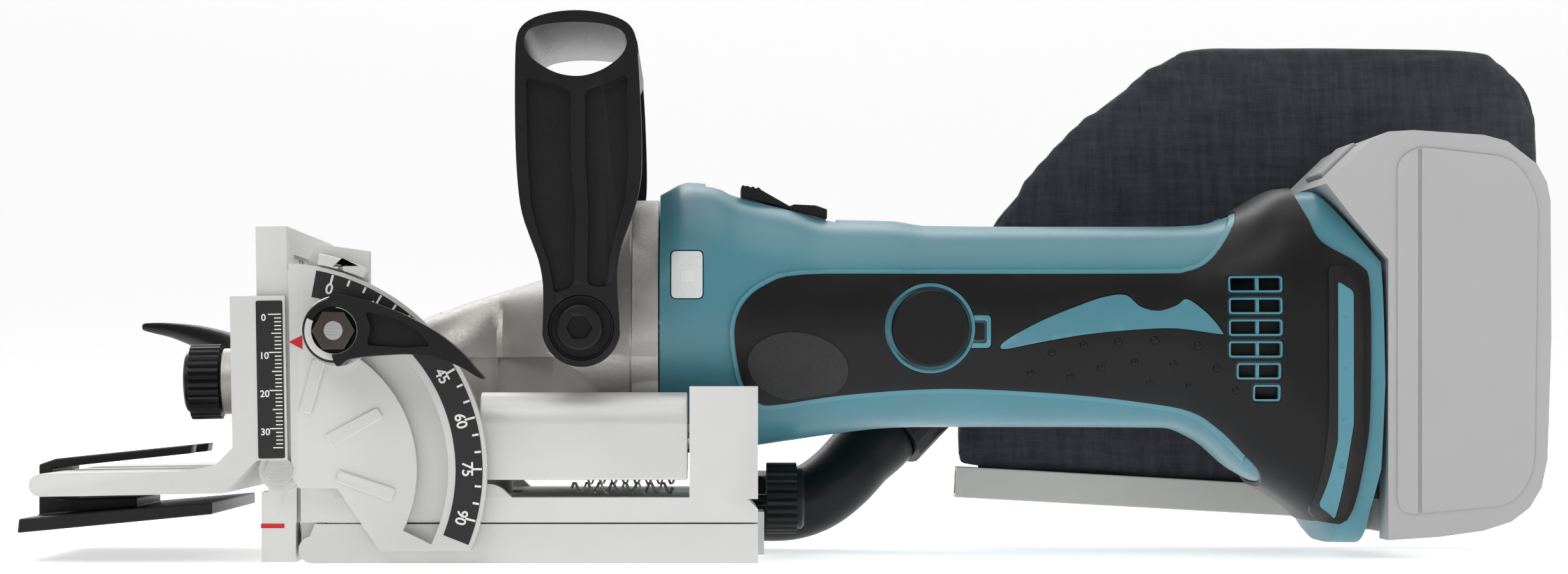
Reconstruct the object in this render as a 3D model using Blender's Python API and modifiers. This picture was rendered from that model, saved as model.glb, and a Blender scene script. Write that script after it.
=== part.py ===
"""Cordless biscuit joiner. Lengths below are in millimetres and are scaled to metres as meshes are made.

X runs from the front face (-X) to the battery (+X), Y to the operator's right-hand side away from the
quadrant, Z up. The origin is the middle of the base's sole.
"""

import math

import bmesh
import bpy
from mathutils import Matrix, Vector

for old in list(bpy.data.objects):
    bpy.data.objects.remove(old, do_unlink=True)

MM = 0.001
GAP = 0.3  # between neighbouring pieces

# Base
HALF_W = 57.0
FRONT_X, REAR_X = -65.6, 65.6
DECK_Z0, DECK_Z1 = 10.8, 17.4
COVER_Z1 = 10.4
CHAMBER_R = 51.5
COVER_PIN = (-52.2, 3.6)
ROD_Y, ROD_Z, ROD_R = 47.0, 33.0, 4.0

# Blade, spindle and motor
BLADE_X, BLADE_Z, BLADE_R = -14.6, 10.0, 50.0
PLUNGE = 21.0
MOTOR_Z = 62.5
GEAR_R, PINION_TEETH, GEAR_TEETH = 15.0, 10, 37
PINION_R = GEAR_R * PINION_TEETH / GEAR_TEETH

# Tilting guide and fence, drawn upright and leant back about the hinge pin
PIN_X, PIN_Z, PIN_R = -60.2, 24.7, 3.2
LEAN = math.radians(1.0)
GUIDE_Y = 61.0
QUAD_Y0, QUAD_Y1 = -63.0, -58.5
QUAD_R, SLOT_R0, SLOT_R1 = 54.5, 36.1, 44.4
LOCK_X, LOCK_Z = -44.7, 61.2
KNOB_Z, RACK_R = 48.6, 4.0

# Front handle
HANDLE_X, HANDLE_Z = 18.8, 62.3
HANDLE_Y0, HANDLE_Y1 = 50.0, 56.0

# Dust bag neck
NECK_AT = Vector((104.0, 42.0, 33.5))
NECK_DIR = Vector((0.66, 0.34, 0.67)).normalized()

PARTS = bpy.data.collections.new("biscuit_joiner")
CUTTERS = bpy.data.collections.new("cutters")
for coll in (PARTS, CUTTERS):
    bpy.context.scene.collection.children.link(coll)


# ---------------------------------------------------------------- helpers
def material(name, colour, rough, metal=0.0):
    """A Principled material with one colour."""
    mat = bpy.data.materials.new(name)
    mat.use_nodes = True
    shader = mat.node_tree.nodes["Principled BSDF"]
    shader.inputs["Base Color"].default_value = (*colour, 1.0)
    shader.inputs["Roughness"].default_value = rough
    shader.inputs["Metallic"].default_value = metal
    mat.diffuse_color = (*colour, 1.0)
    return mat


LOOKS = {
    "satin": ((0.76, 0.76, 0.73), 0.42, 0.6),
    "cast": ((0.58, 0.56, 0.53), 0.55, 0.5),
    "steel": ((0.62, 0.62, 0.62), 0.3, 1.0),
    "dark_steel": ((0.12, 0.1, 0.09), 0.4, 1.0),
    "spring": ((0.4, 0.4, 0.4), 0.3, 1.0),
    "copper": ((0.72, 0.35, 0.18), 0.35, 1.0),
    "brass": ((0.7, 0.55, 0.25), 0.35, 1.0),
    "teal": ((0.105, 0.32, 0.4), 0.4, 0.0),
    "grip": ((0.014, 0.014, 0.016), 0.75, 0.0),
    "black": ((0.02, 0.02, 0.022), 0.45, 0.0),
    "carbon": ((0.03, 0.03, 0.03), 0.7, 0.0),
    "cloth": ((0.034, 0.034, 0.042), 0.95, 0.0),
    "ivory": ((0.68, 0.66, 0.62), 0.5, 0.0),
    "pack": ((0.5, 0.5, 0.5), 0.5, 0.0),
    "frosted": ((0.75, 0.77, 0.78), 0.35, 0.0),
    "red": ((0.6, 0.02, 0.02), 0.5, 0.0),
}


def make(name, verts, faces, coll=None):
    """A mesh object from points in millimetres, its faces turned outward."""
    mesh = bpy.data.meshes.new(name)
    mesh.from_pydata([tuple(c * MM for c in v) for v in verts], [], faces)
    bm = bmesh.new()
    bm.from_mesh(mesh)
    bmesh.ops.recalc_face_normals(bm, faces=bm.faces)
    if bm.calc_volume(signed=True) < 0:
        bmesh.ops.reverse_faces(bm, faces=bm.faces)
    bm.to_mesh(mesh)
    bm.free()
    obj = bpy.data.objects.new(name, mesh)
    (coll or CUTTERS).objects.link(obj)
    if coll is None:
        obj.hide_render = True
        obj.display_type = "WIRE"
    return obj


def node(obj, name, look):
    """Turns a helper solid into a named piece of the joiner with its own material."""
    CUTTERS.objects.unlink(obj)
    PARTS.objects.link(obj)
    obj.hide_render = False
    obj.display_type = "TEXTURED"
    obj.name = name
    obj.data.name = name
    obj.data.materials.append(material(name + "_material", *LOOKS[look]))
    return obj


def place(axis, u, v, t):
    """A point of a profile plane: XZ along Y, YZ along X, XY along Z."""
    return {"Y": (u, t, v), "X": (t, u, v), "Z": (u, v, t)}[axis]


def prism(axis, points, t0, t1, name="solid"):
    """A straight extrusion of a closed outline."""
    n = len(points)
    verts = [place(axis, u, v, t) for t in (t0, t1) for u, v in points]
    sides = [(i, (i + 1) % n, n + (i + 1) % n, n + i) for i in range(n)]
    return make(name, verts, [tuple(range(n)), tuple(range(n, 2 * n))] + sides)


def box(x0, x1, y0, y1, z0, z1, name="solid"):
    """A block between two corners."""
    return prism("Z", [(x0, y0), (x1, y0), (x1, y1), (x0, y1)], z0, z1, name)


def arc(cu, cv, r, a0, a1, n):
    """Points of an arc, angles in degrees."""
    steps = [math.radians(a0 + (a1 - a0) * i / n) for i in range(n + 1)]
    return [(cu + r * math.cos(a), cv + r * math.sin(a)) for a in steps]


def ring(r, n=32, cu=0.0, cv=0.0, ru=None):
    """A closed circle, or an ellipse when ru is given."""
    angles = [2 * math.pi * i / n for i in range(n)]
    return [(cu + (ru or r) * math.cos(a), cv + r * math.sin(a)) for a in angles]


def disc(axis, at, r, t0, t1, n=32, name="solid"):
    """A cylinder along an axis through the plane point at."""
    return prism(axis, ring(r, n, *at), t0, t1, name)


def turned(axis, at, profile, n=32, name="solid"):
    """A solid of revolution: profile pairs are (radius, position), the ends lying on the axis or capped."""
    verts, faces = [], []
    for r, t in profile:
        verts += [place(axis, u, v, t) for u, v in ring(r, n, *at)]
    for k in range(len(profile) - 1):
        for i in range(n):
            j = (i + 1) % n
            faces.append((k * n + i, k * n + j, (k + 1) * n + j, (k + 1) * n + i))
    last = (len(profile) - 1) * n
    faces += [tuple(range(n)), tuple(range(last, last + n))]
    return make(name, verts, faces)


def revolve(axis, at, loop, n=32, name="solid"):
    """A ring-shaped solid: loop is a closed section of (radius, position) pairs off the axis."""
    verts = [place(axis, u, v, t) for r, t in loop for u, v in ring(r, n, *at)]
    faces = []
    for k in range(len(loop)):
        m = (k + 1) % len(loop)
        for i in range(n):
            j = (i + 1) % n
            faces.append((k * n + i, k * n + j, m * n + j, m * n + i))
    return make(name, verts, faces)


def tube(axis, at, r0, r1, t0, t1, n=32, name="solid"):
    """A plain ring with a bore of radius r0."""
    return revolve(axis, at, [(r0, t0), (r1, t0), (r1, t1), (r0, t1)], n, name)


def boolean(obj, tool, how, solver="EXACT"):
    """One live Boolean."""
    mod = obj.modifiers.new(how.lower(), "BOOLEAN")
    mod.operation = how
    mod.solver = solver
    mod.object = tool
    return obj


def cut(obj, *tools):
    """Takes each tool away from obj."""
    for tool in tools:
        boolean(obj, tool, "DIFFERENCE")
    return obj


def join(obj, *tools):
    """Adds each tool to obj."""
    for tool in tools:
        boolean(obj, tool, "UNION")
    return obj


def bevel(obj, width, segments=2, angle=35):
    """Rounds the sharp edges."""
    mod = obj.modifiers.new("bevel", "BEVEL")
    mod.width = width * MM
    mod.segments = segments
    mod.limit_method = "ANGLE"
    mod.angle_limit = math.radians(angle)
    mod.use_clamp_overlap = True
    return obj


def sweep(path, radius, n=12, name="solid"):
    """A round bar along a list of points."""
    pts = [Vector(p) for p in path]
    side = Vector((0.13, 0.97, 0.21))
    verts, faces = [], []
    for k, p in enumerate(pts):
        run = (pts[min(k + 1, len(pts) - 1)] - pts[max(k - 1, 0)]).normalized()
        side = (side - run * side.dot(run)).normalized()
        other = run.cross(side)
        r = radius[k] if isinstance(radius, (list, tuple)) else radius
        for u, v in ring(r, n):
            verts.append(tuple(p + side * u + other * v))
    for k in range(len(pts) - 1):
        for i in range(n):
            j = (i + 1) % n
            faces.append((k * n + i, k * n + j, (k + 1) * n + j, (k + 1) * n + i))
    last = (len(pts) - 1) * n
    faces += [tuple(range(n)), tuple(range(last, last + n))]
    return make(name, verts, faces)


def lean(obj):
    """Leans a solid of the guide back about the hinge pin."""
    pin = Vector((PIN_X, 0, PIN_Z)) * MM
    turn = Matrix.Translation(pin) @ Matrix.Rotation(-LEAN, 4, "Y") @ Matrix.Translation(-pin)
    obj.matrix_world = turn @ obj.matrix_world
    return obj


def lean_point(x, z):
    """The leant place of a point drawn upright."""
    dx, dz = x - PIN_X, z - PIN_Z
    return (PIN_X + dx * math.cos(LEAN) - dz * math.sin(LEAN), PIN_Z + dx * math.sin(LEAN) + dz * math.cos(LEAN))


def both(maker):
    """Runs a maker for the near side (-1) and the far side (+1)."""
    return [maker(side, word) for side, word in ((-1, "left"), (1, "right"))]


def span(side, a, b):
    """A Y range mirrored to one side, low end first."""
    return (min(side * a, side * b), max(side * a, side * b))


# ---------------------------------------------------------------- base
def base_frame():
    """The cast base: front bar with the blade slot, deck over the blade, cheeks and rear uprights."""
    deck = [(FRONT_X, 0.3), (-56.5, 0.3), (-56.5, DECK_Z0), (REAR_X, DECK_Z0), (REAR_X, 14.3)]
    deck += [(REAR_X - 3.1, DECK_Z1), (-46.5, DECK_Z1), (-46.5, 18.8), (FRONT_X, 18.9)]
    body = prism("Y", deck, -HALF_W, HALF_W, "base_frame")
    join(body, box(-56.5, -50.5, -HALF_W, HALF_W, 17.0, 44.0))
    cheek = [(-56.4, 17.0), (1.0, 17.0)] + arc(-6.0, 14.0, 7.0, 40, 90, 4) + [(-22, 21.2)]
    cheek += arc(-29.7, 27.2, 6.0, 270, 180, 5) + [(-36.4, 47), (-37.2, 58), (-37.2, 82.5)]
    cheek += [(-51.5, 84.5), (-56.4, 70)]
    for side in (-1, 1):
        wall = cheek if side < 0 else cheek[:-5] + [(-35.8, 36.8), (-56.4, 36.8)]
        join(body, prism("Y", wall, *span(side, 50.5, HALF_W - 0.01)))
        join(body, box(47.5, REAR_X, *span(side, 40.5, HALF_W), 17.0, 46.8))
        join(body, disc("Y", (PIN_X, PIN_Z), 5.2, *span(side, 50.5, HALF_W), n=24))
        join(body, box(PIN_X - 3.6, -55.0, *span(side, 50.5, HALF_W), 18.0, PIN_Z))
        join(body, box(-55.4, -49.0, *span(side, 50.0, 54.0), COVER_PIN[1] - 1.6, 12.0))
        join(body, disc("Y", COVER_PIN, 1.6, *span(side, 49.0, 55.2), n=16))
        cut(body, box(-56.3, -55.2, *span(side, 54.0, 60.0), DECK_Z0 - 0.2, 20.0))
    join(body, box(-56.5, -50.5, 36.0, 52.0, 43.0, 57.0))
    backing = arc(PIN_X, PIN_Z, 50.0, 78.0, -8.0, 12) + [(-10.7, 11.4), (-26.6, 11.4)]
    join(body, prism("Y", backing + arc(PIN_X, PIN_Z, 34.0, -8.0, 78.0, 9), QUAD_Y1 + 0.25, -57.3))
    join(body, box(-26.5, -10.8, QUAD_Y1 + 0.26, -56.0, 11.5, 17.2))
    join(body, box(-50.6, -38.0, QUAD_Y1 + 0.26, -56.0, 62.0, 72.0))
    chamber = disc("Z", (BLADE_X, 0), CHAMBER_R, 8.0, 13.4, 28)
    cut(body, chamber, disc("Z", (BLADE_X - PLUNGE, 0), CHAMBER_R - 0.6, 8.0, 13.4, 28))
    cut(body, box(-80, -20, -43.5, 43.5, 7.0, 13.4))
    cut(body, box(-50.0, 0.5, -14, 14, 12.0, 20.0))
    cut(body, box(20, 80, 19, 41, 5.0, 13.4))
    for side in (-1, 1):
        y0, y1 = span(side, 30.0, 70.0)
        cut(body, disc("X", (side * ROD_Y, ROD_Z), ROD_R + GAP, -53.5, 60.0, 16))
        cut(body, disc("Y", (PIN_X, PIN_Z), PIN_R + GAP, y0, y1, 20))
    cut(body, disc("Y", (LOCK_X, LOCK_Z), 4.3, -60, -47, 20))
    cut(body, disc("X", (44.0, 49.0), 2.8, -58, -48, 16))
    cut(body, disc("X", (0, 15.0), 2.0, 58.0, 70.0, 16))
    return node(body, "base_frame", "satin")


def blade_cover():
    """The swing-down floor under the blade."""
    px, pz = COVER_PIN
    outline = arc(px, pz, 3.6, 270, 100, 8) + [(px + 0.7, COVER_Z1), (REAR_X, COVER_Z1), (REAR_X, 0.0)]
    body = prism("Y", outline, -HALF_W, HALF_W, "blade_cover")
    join(body, box(REAR_X - 0.5, 68.2, -9, 9, 0.0, 10.2), box(66.2, 68.2, -9, 9, 9.0, 12.0))
    cut(body, disc("Z", (BLADE_X, 0), CHAMBER_R, 3.2, 14.0, 28))
    cut(body, disc("Z", (BLADE_X - PLUNGE, 0), CHAMBER_R - 0.6, 3.2, 14.0, 28))
    cut(body, box(20, 80, 19, 41, 3.2, 14.0))
    for side in (-1, 1):
        cut(body, box(-60, -48.2, *span(side, 49.6, 54.4), -1.0, 12.0))
        cut(body, disc("Y", COVER_PIN, 1.9, *span(side, 44.0, 55.6), n=16))
    return node(body, "blade_cover", "satin")


def cover_knob():
    """The knurled thumb screw that holds the cover shut."""
    teeth = []
    for i in range(36):
        r = 10.0 if i % 2 else 9.5
        a = 2 * math.pi * i / 36
        teeth.append((r * math.cos(a), 15.5 + r * math.sin(a)))
    body = prism("X", teeth, 69.0, 77.5, "cover_knob")
    join(body, turned("X", (0, 15.5), [(8.4, 77.0), (8.4, 78.6), (6.8, 79.5)], 24))
    join(body, disc("X", (0, 15.0), 1.6, 60.0, 69.5, 16))
    return node(body, "cover_knob", "black")


def rods_and_pins(side, word):
    """The steel rod and the hinge pin of one side."""
    rod = disc("X", (side * ROD_Y, ROD_Z), ROD_R - 0.05, -53.0, 59.5, 16)
    node(rod, "slide_rod_" + word, "steel")
    pin = turned("Y", (PIN_X, PIN_Z), [(PIN_R, 51.2 * side), (PIN_R, 60.4 * side), (2.6, 60.9 * side)], 20)
    node(pin, "guide_pin_" + word, "steel")


def return_spring(side, word):
    """The coil spring under a slide box."""
    turns, per, r = 8, 6, 1.55
    path = []
    for i in range(turns * per + 1):
        a = 2 * math.pi * i / per
        path.append((16.0 + 27.0 * i / (turns * per), side * ROD_Y + r * math.cos(a), 19.65 + r * math.sin(a)))
    node(sweep(path, 0.4, 4), "return_spring_" + word, "spring")


def pointer_bracket():
    """The hooked plate over the quadrant whose notch reads the angle."""
    low = arc(PIN_X, PIN_Z, QUAD_R + 0.5, 79.5, 66.5, 6)
    high = arc(PIN_X, PIN_Z, QUAD_R + 3.4, 66.5, 79.5, 6)
    body = prism("Y", low + high, -64.2, -57.3, "pointer_bracket")
    a = math.radians(73.4)
    at = (PIN_X + (QUAD_R + 1.0) * math.cos(a), PIN_Z + (QUAD_R + 1.0) * math.sin(a))
    notch = [(at[0] - 1.3, at[1] - 2.0), (at[0] + 1.3, at[1] - 2.6), (at[0] + 0.6, at[1] + 1.6)]
    cut(body, prism("Y", notch, -66.0, -61.5))
    return node(body, "pointer_bracket", "satin")


def lock_bolt():
    """The bolt through the quadrant's slot that the angle lever clamps."""
    at = (LOCK_X, LOCK_Z)
    body = disc("Y", at, 4.0, -57.6, -48.8, 20, "lock_bolt")
    join(body, disc("Y", at, 3.0, -76.5, -57.0, 20), disc("Y", at, 6.6, -50.2, -46.5, 6))
    return node(body, "lock_bolt", "steel")


ELBOW = [(66.3, 30, 12.4), (76, 30, 12.6), (84, 31, 15.2), (91, 34, 20.2), (97, 37.6, 26.4)]


def dust_elbow():
    """The bent pipe from the blade chamber to the bag."""
    path = ELBOW + [tuple(NECK_AT), tuple(NECK_AT + NECK_DIR * 7)]
    body = sweep(path, 10.2, 18, "dust_elbow")
    flange = [(17.0, 3.0), (43.0, 3.0), (43.0, 22.0), (17.0, 22.0)]
    join(body, bevel(prism("X", flange, 66.2, 68.6), 1.5))
    inner = [(60.0, 30, 12.4)] + path + [tuple(NECK_AT + NECK_DIR * 14)]
    cut(body, sweep(inner, 8.2, 16))
    return node(body, "dust_elbow", "black")


# ---------------------------------------------------------------- guide and fence
def quadrant_outline():
    """The side plate around the angle scale: points about the pin, drawn at rest."""
    outer = arc(PIN_X, PIN_Z, QUAD_R, 84.0, -20.0, 26)
    low = [(-10.3, 3.6), (-33.7, 3.4), (-45.0, 20.0), (-55.0, 20.0), (-57.0, 23.0)]
    return outer + low + [(-57.1, 31.0), (-57.8, 79.0)]


def angle_guide():
    """The tilting guide: the plate, the two lugs on the pins and the slotted quadrant."""
    x0, x1 = -65.6, -57.5
    low = [(x0, 24.4), (-62.2, 20.3), (-60.2, 20.3), (x1, 23.2)]
    body = lean(prism("Y", low + [(x1, 40.0), (x0, 40.0)], -49.8, 49.8, "angle_guide"))
    join(body, lean(box(x0, x1, -GUIDE_Y, GUIDE_Y, 32.2, 88.9)))
    cut(body, lean(box(x1 - 3.0, x1 + 1, -44, 44, 44.0, 82.0)))
    join(body, prism("Y", quadrant_outline(), QUAD_Y0, QUAD_Y1))
    join(body, box(-61.5, -55.5, -60.9, QUAD_Y1 - 0.4, 40.0, 77.5))
    join(body, disc("Y", (PIN_X, PIN_Z), 5.6, -60.9, -57.4, 24), box(-60.0, -55.0, -60.9, -57.5, 26.0, 41.0))
    far = arc(PIN_X, PIN_Z, 5.2, 180, 360, 10) + [(-50.0, 44.0), (-58.0, 86.0), (-64.0, 86.0)]
    join(body, prism("Y", far, 58.3, GUIDE_Y))
    slot = arc(PIN_X, PIN_Z, SLOT_R1, 76.8, -26.0, 24) + arc(PIN_X, PIN_Z, SLOT_R0, -26.0, 76.8, 24)
    cut(body, prism("Y", slot, -65, -57.5))
    for side in (-1, 1):
        cut(body, disc("Y", (PIN_X, PIN_Z), PIN_R + GAP, *span(side, 57.4, 66.0), n=20))
    cut(body, lean(box(x0 - 1, -60.5, -4.6, 7.6, 33.0, 85.0)))
    return node(body, "angle_guide", "satin")


def rack():
    """The toothed strip that the fence's pinion climbs."""
    pitch = 2 * math.pi * RACK_R / 12
    teeth = []
    count = int(50 / pitch)
    for i in range(count):
        z = 34.0 + i * pitch
        teeth += [(5.3, z), (5.3, z + 0.4 * pitch), (4.2, z + 0.55 * pitch), (4.2, z + 0.85 * pitch)]
    outline = teeth + [(5.3, 34.0 + count * pitch), (7.3, 34.0 + count * pitch), (7.3, 34.0)]
    return node(lean(prism("X", outline, -65.2, -60.9, "rack")), "rack", "steel")


def fence():
    """The L-shaped fence: face plate, side cheeks around the guide, and the arm that rests on the work."""
    px, py = -72.3, 64.0
    profile = [(-66.0, 70.6), (px, 70.6), (px, 31.0), (-77.0, 26.2), (-86.0, 24.9)]
    profile += arc(-123.0, 21.9, 3.0, 90, 270, 6) + [(-75.0, 18.9), (-66.0, 27.4)]
    body = lean(prism("Y", profile, -py, py, "fence"))
    for side in (-1, 1):
        join(body, lean(box(-66.5, -57.9, *span(side, GUIDE_Y + 0.35, py), 27.4, 70.6)))
    cut(body, lean(disc("X", (0, KNOB_Z), 3.6, -76, -64, 20)))
    cut(body, lean(disc("X", (21, 53.5), 3.2, -76, -64, 20)))
    return node(body, "fence", "satin")


def fence_knob():
    """The pinion with its shaft, and the knurled knob that turns it."""
    at = (0, KNOB_Z)
    teeth = []
    for i in range(12):
        for step, r in ((0.0, 3.85), (0.28, 3.85), (0.42, 2.9), (0.86, 2.9)):
            a = 2 * math.pi * (i + step + 0.36) / 12
            teeth.append((r * math.cos(a), KNOB_Z + r * math.sin(a)))
    shaft = lean(prism("X", teeth, -65.1, -61.0, "pinion_shaft"))
    join(shaft, lean(disc("X", at, 2.8, -83.6, -61.0, 16)))
    node(shaft, "pinion_shaft", "steel")
    knurl = []
    for i in range(40):
        r = 10.5 if i % 2 else 10.0
        a = 2 * math.pi * i / 40
        knurl.append((r * math.cos(a), KNOB_Z + r * math.sin(a)))
    knob = lean(prism("X", knurl, -91.4, -83.0, "fence_knob"))
    join(knob, lean(turned("X", at, [(7.6, -91.0), (7.6, -92.5), (6.8, -93.0)], 24)))
    join(knob, lean(disc("X", at, 8.0, -83.5, -74.6, 24)))
    cut(knob, lean(disc("X", at, 3.1, -83.9, -70.0, 16)))
    node(knob, "fence_knob", "black")


def fence_lever():
    """The lever beside the knob that locks the fence's height."""
    hub = lean(turned("X", (21, 53.5), [(5.0, -83.0), (7.4, -81.5), (7.4, -73.5), (6.4, -72.7)], 24))
    rows = [((-80.0, 22.5, 55.5), 5.0), ((-85, 29, 58.6), 4.2), ((-94, 38, 61.6), 3.4), ((-103, 45, 63.9), 2.2)]
    rows += [((-110.5, 49.4, 65.0), 1.4), ((-112.6, 50.4, 65.2), 0.9)]
    arm = sweep([p for p, _ in rows], [r for _, r in rows], 12)
    join(hub, lean(arm), lean(disc("X", (21, 53.5), 2.8, -73.5, -66.5, 16)))
    return node(hub, "fence_lever", "black")


def set_plate():
    """The clip-on plate under the fence arm for thin stock."""
    sole = [(-132.0, 7.6), (-80.0, 12.6), (-80.0, 15.8), (-131.6, 11.4)]
    hook = [(-130.8, 9.0), (-104.0, 12.0), (-104.0, 16.4), (-125.6, 16.0), (-127.2, 17.0), (-127.2, 24.4)]
    hook += [(-89.2, 28.4), (-88.8, 30.8), (-126.2, 27.0), (-130.8, 25.4)]
    body = prism("Y", sole, -47, 47, "set_plate")
    join(body, prism("Y", hook, -22, 22))
    cut(body, box(-124.5, -80, -12, 12, 24.0, 40.0))
    return node(body, "set_plate", "black")


def angle_lever():
    """The clamp lever on the quadrant, with its washer and nut."""
    at = (LOCK_X, LOCK_Z)
    node(tube("Y", at, 3.8, 9.4, -64.9, -63.4, 32), "lever_washer", "steel")
    hub = turned("Y", at, [(8.4, -65.3), (8.4, -73.0), (7.6, -74.2)], 32)
    rows = [((-44.0, -71.0, 60.8), 5.4), ((-35, -71.2, 58.0), 5.2), ((-24, -72.0, 54.2), 4.8)]
    rows += [((-13, -73.8, 50.8), 4.4), ((-8.5, -75.5, 49.4), 3.2)]
    join(hub, sweep([p for p, _ in rows], [r for _, r in rows], 12))
    cut(hub, disc("Y", at, 3.4, -80, -60, 20), disc("Y", at, 6.6, -80, -69.0, 6))
    node(hub, "angle_lever", "black")
    nut = disc("Y", at, 6.2, -75.2, -69.4, 6)
    node(cut(nut, disc("Y", at, 3.4, -80, -60, 20)), "lever_nut", "dark_steel")


# ---------------------------------------------------------------- carriage
def slide_box_outline(side):
    """Half-round top, flat outside: a YZ outline."""
    y0, y1 = side * 39.0, side * 56.4
    top = arc(side * 47.7, 36.6, 8.6, 0 if side > 0 else 180, 180 if side > 0 else 0, 10)
    return [(y0, 22.0), (y1, 22.0)] + top


def gear_housing():
    """The cast housing of the gears, with the slide boxes and the bosses of the front handle."""
    side_view = [(-14.6, 24.0), (39.0, 30.4), (39.0, 100.0), (34.4, 97.5), (30.0, 89.0), (5.8, 76.0)]
    side_view += [(1.0, 75.0), (-15.7, 69.8), (-30.0, 64.6)] + [(-34.4, 61.0), (-34.4, 47.2), (-28.0, 46.0)]
    side_view += [(-28.0, 24.0)]
    body = prism("Y", side_view, -37.0, 37.0, "gear_housing")
    plan = [(39.0, -36.6), (39.0, 36.6), (30.0, 36.6), (8.0, 33.0)]
    plan += arc(BLADE_X, 0, 19.8, 60, 300, 16) + [(8.0, -33.0), (30.0, -36.6)]
    boolean(body, prism("Z", plan, 0, 120), "INTERSECT")
    front = arc(0, MOTOR_Z + 1.2, 37.2, 0, 360, 32)[:-1]
    boolean(body, prism("X", [(y, z * 1.0) for y, z in front], -60, 60), "INTERSECT")
    bevel(body, 1.2, 1)
    join(body, disc("Z", (BLADE_X, 0), 12.6, 14.2, 30.0, 24))
    for side in (-1, 1):
        join(body, prism("X", slide_box_outline(side), -8.0, 47.0))
        join(body, box(-4.0, 34.0, *span(side, 20.0, 40.0), 27.0, 40.0))
        join(body, disc("Y", (HANDLE_X, HANDLE_Z), 8.2, *span(side, 30.0, 49.6), n=24))
    join(body, box(36.0, 39.0, -20, 20, 82.0, 99.4))
    axis = (0, MOTOR_Z)
    cut(body, disc("Z", (BLADE_X, 0), 17.2, 50.6, 60.0, 32))
    cut(body, turned("X", axis, [(7.6, -22.0), (7.6, 4.0)], 24))
    cut(body, disc("X", axis, 6.9, 3.0, 16.0, 24), disc("X", axis, 22.0, 15.8, 50.0, 24))
    cut(body, disc("Z", (BLADE_X, 0), 5.6, 10.0, 55.0, 24))
    cut(body, disc("Z", (BLADE_X, 0), 10.4, 24.0, 33.0, 24))
    cut(body, disc("Z", (BLADE_X, 0), 9.0, 10.0, 24.2, 24))
    cut(body, disc("Z", (14.0, 0), 6.4, 73.6, 110.0, 20))
    for side in (-1, 1):
        cut(body, disc("X", (side * ROD_Y, ROD_Z), ROD_R + GAP, -20.0, 60.0, 16))
        cut(body, disc("Y", (HANDLE_X, HANDLE_Z), 2.9, *span(side, 38.0, 60.0), n=16))
    cut(body, disc("X", (44.0, 41.0), 1.9, -10.0, 4.0, 16))
    return node(body, "gear_housing", "cast")


HOUSING = [
    # x, bottom, top, half width, squareness
    (39.4, 30.6, 100.2, 36.4, 2.1),
    (47.0, 30.2, 103.8, 36.8, 2.1),
    (54.6, 30.0, 103.1, 37.0, 2.1),
    (61.4, 30.0, 99.8, 37.0, 2.1),
    (75.1, 31.6, 96.7, 36.6, 2.1),
    (85.1, 33.1, 93.5, 36.0, 2.15),
    (104.0, 35.2, 93.0, 34.6, 2.25),
    (113.0, 35.4, 91.7, 34.0, 2.3),
    (145.0, 35.4, 91.4, 32.0, 2.4),
    (179.8, 35.2, 91.4, 32.4, 2.5),
    (189.3, 31.6, 91.8, 33.6, 2.7),
    (198.9, 23.8, 94.6, 35.0, 3.0),
    (210.3, 17.4, 100.4, 36.0, 3.4),
    (218.8, 10.8, 100.8, 36.4, 3.8),
    (223.8, 3.6, 99.2, 36.4, 4.0),
    (236.0, 3.4, 92.0, 36.4, 4.0),
]


def loft(grow, x_min=None, x_max=None, top_max=None, n=28, name="solid"):
    """The housing's skin grown outward by grow, as a solid."""
    rows = []
    for x, zb, zt, hw, power in HOUSING:
        zt = zt + grow
        if top_max is not None:
            zt = min(zt, top_max)
        rows.append((x, zb - grow, zt, hw + grow, power))
    if x_min is not None:
        rows[0] = (x_min, *rows[0][1:])
    if x_max is not None:
        rows[-1] = (x_max, *rows[-1][1:])
    verts, faces = [], []
    for x, zb, zt, hw, power in rows:
        cz, hz = (zb + zt) / 2, (zt - zb) / 2
        for i in range(n):
            a = 2 * math.pi * (i + 0.5) / n
            c, s = math.cos(a), math.sin(a)
            u = math.copysign(abs(c) ** (2 / power), c) * hw
            v = math.copysign(abs(s) ** (2 / power), s) * hz
            verts.append((x, u, cz + v))
    for k in range(len(rows) - 1):
        for i in range(n):
            j = (i + 1) % n
            a, b, c, d = k * n + i, k * n + j, (k + 1) * n + j, (k + 1) * n + i
            faces += [(a, b, c), (a, c, d)] if i < n / 2 else [(a, b, d), (b, c, d)]
    last = (len(rows) - 1) * n
    faces += [tuple(range(n)), tuple(range(last, last + n))]
    return make(name, verts, faces)


REAR_CUT = [(218.4, 110.0), (218.4, 101.0), (226.2, 91.0), (234.7, 80.4), (235.4, 47.7), (234.4, 24.4)]
REAR_CUT += [(232.0, 13.3), (230.4, -10.0), (260.0, -10.0), (260.0, 110.0)]


LENS_X, LENS_Z = (42.6, 51.0), (70.6, 83.4)


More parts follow.
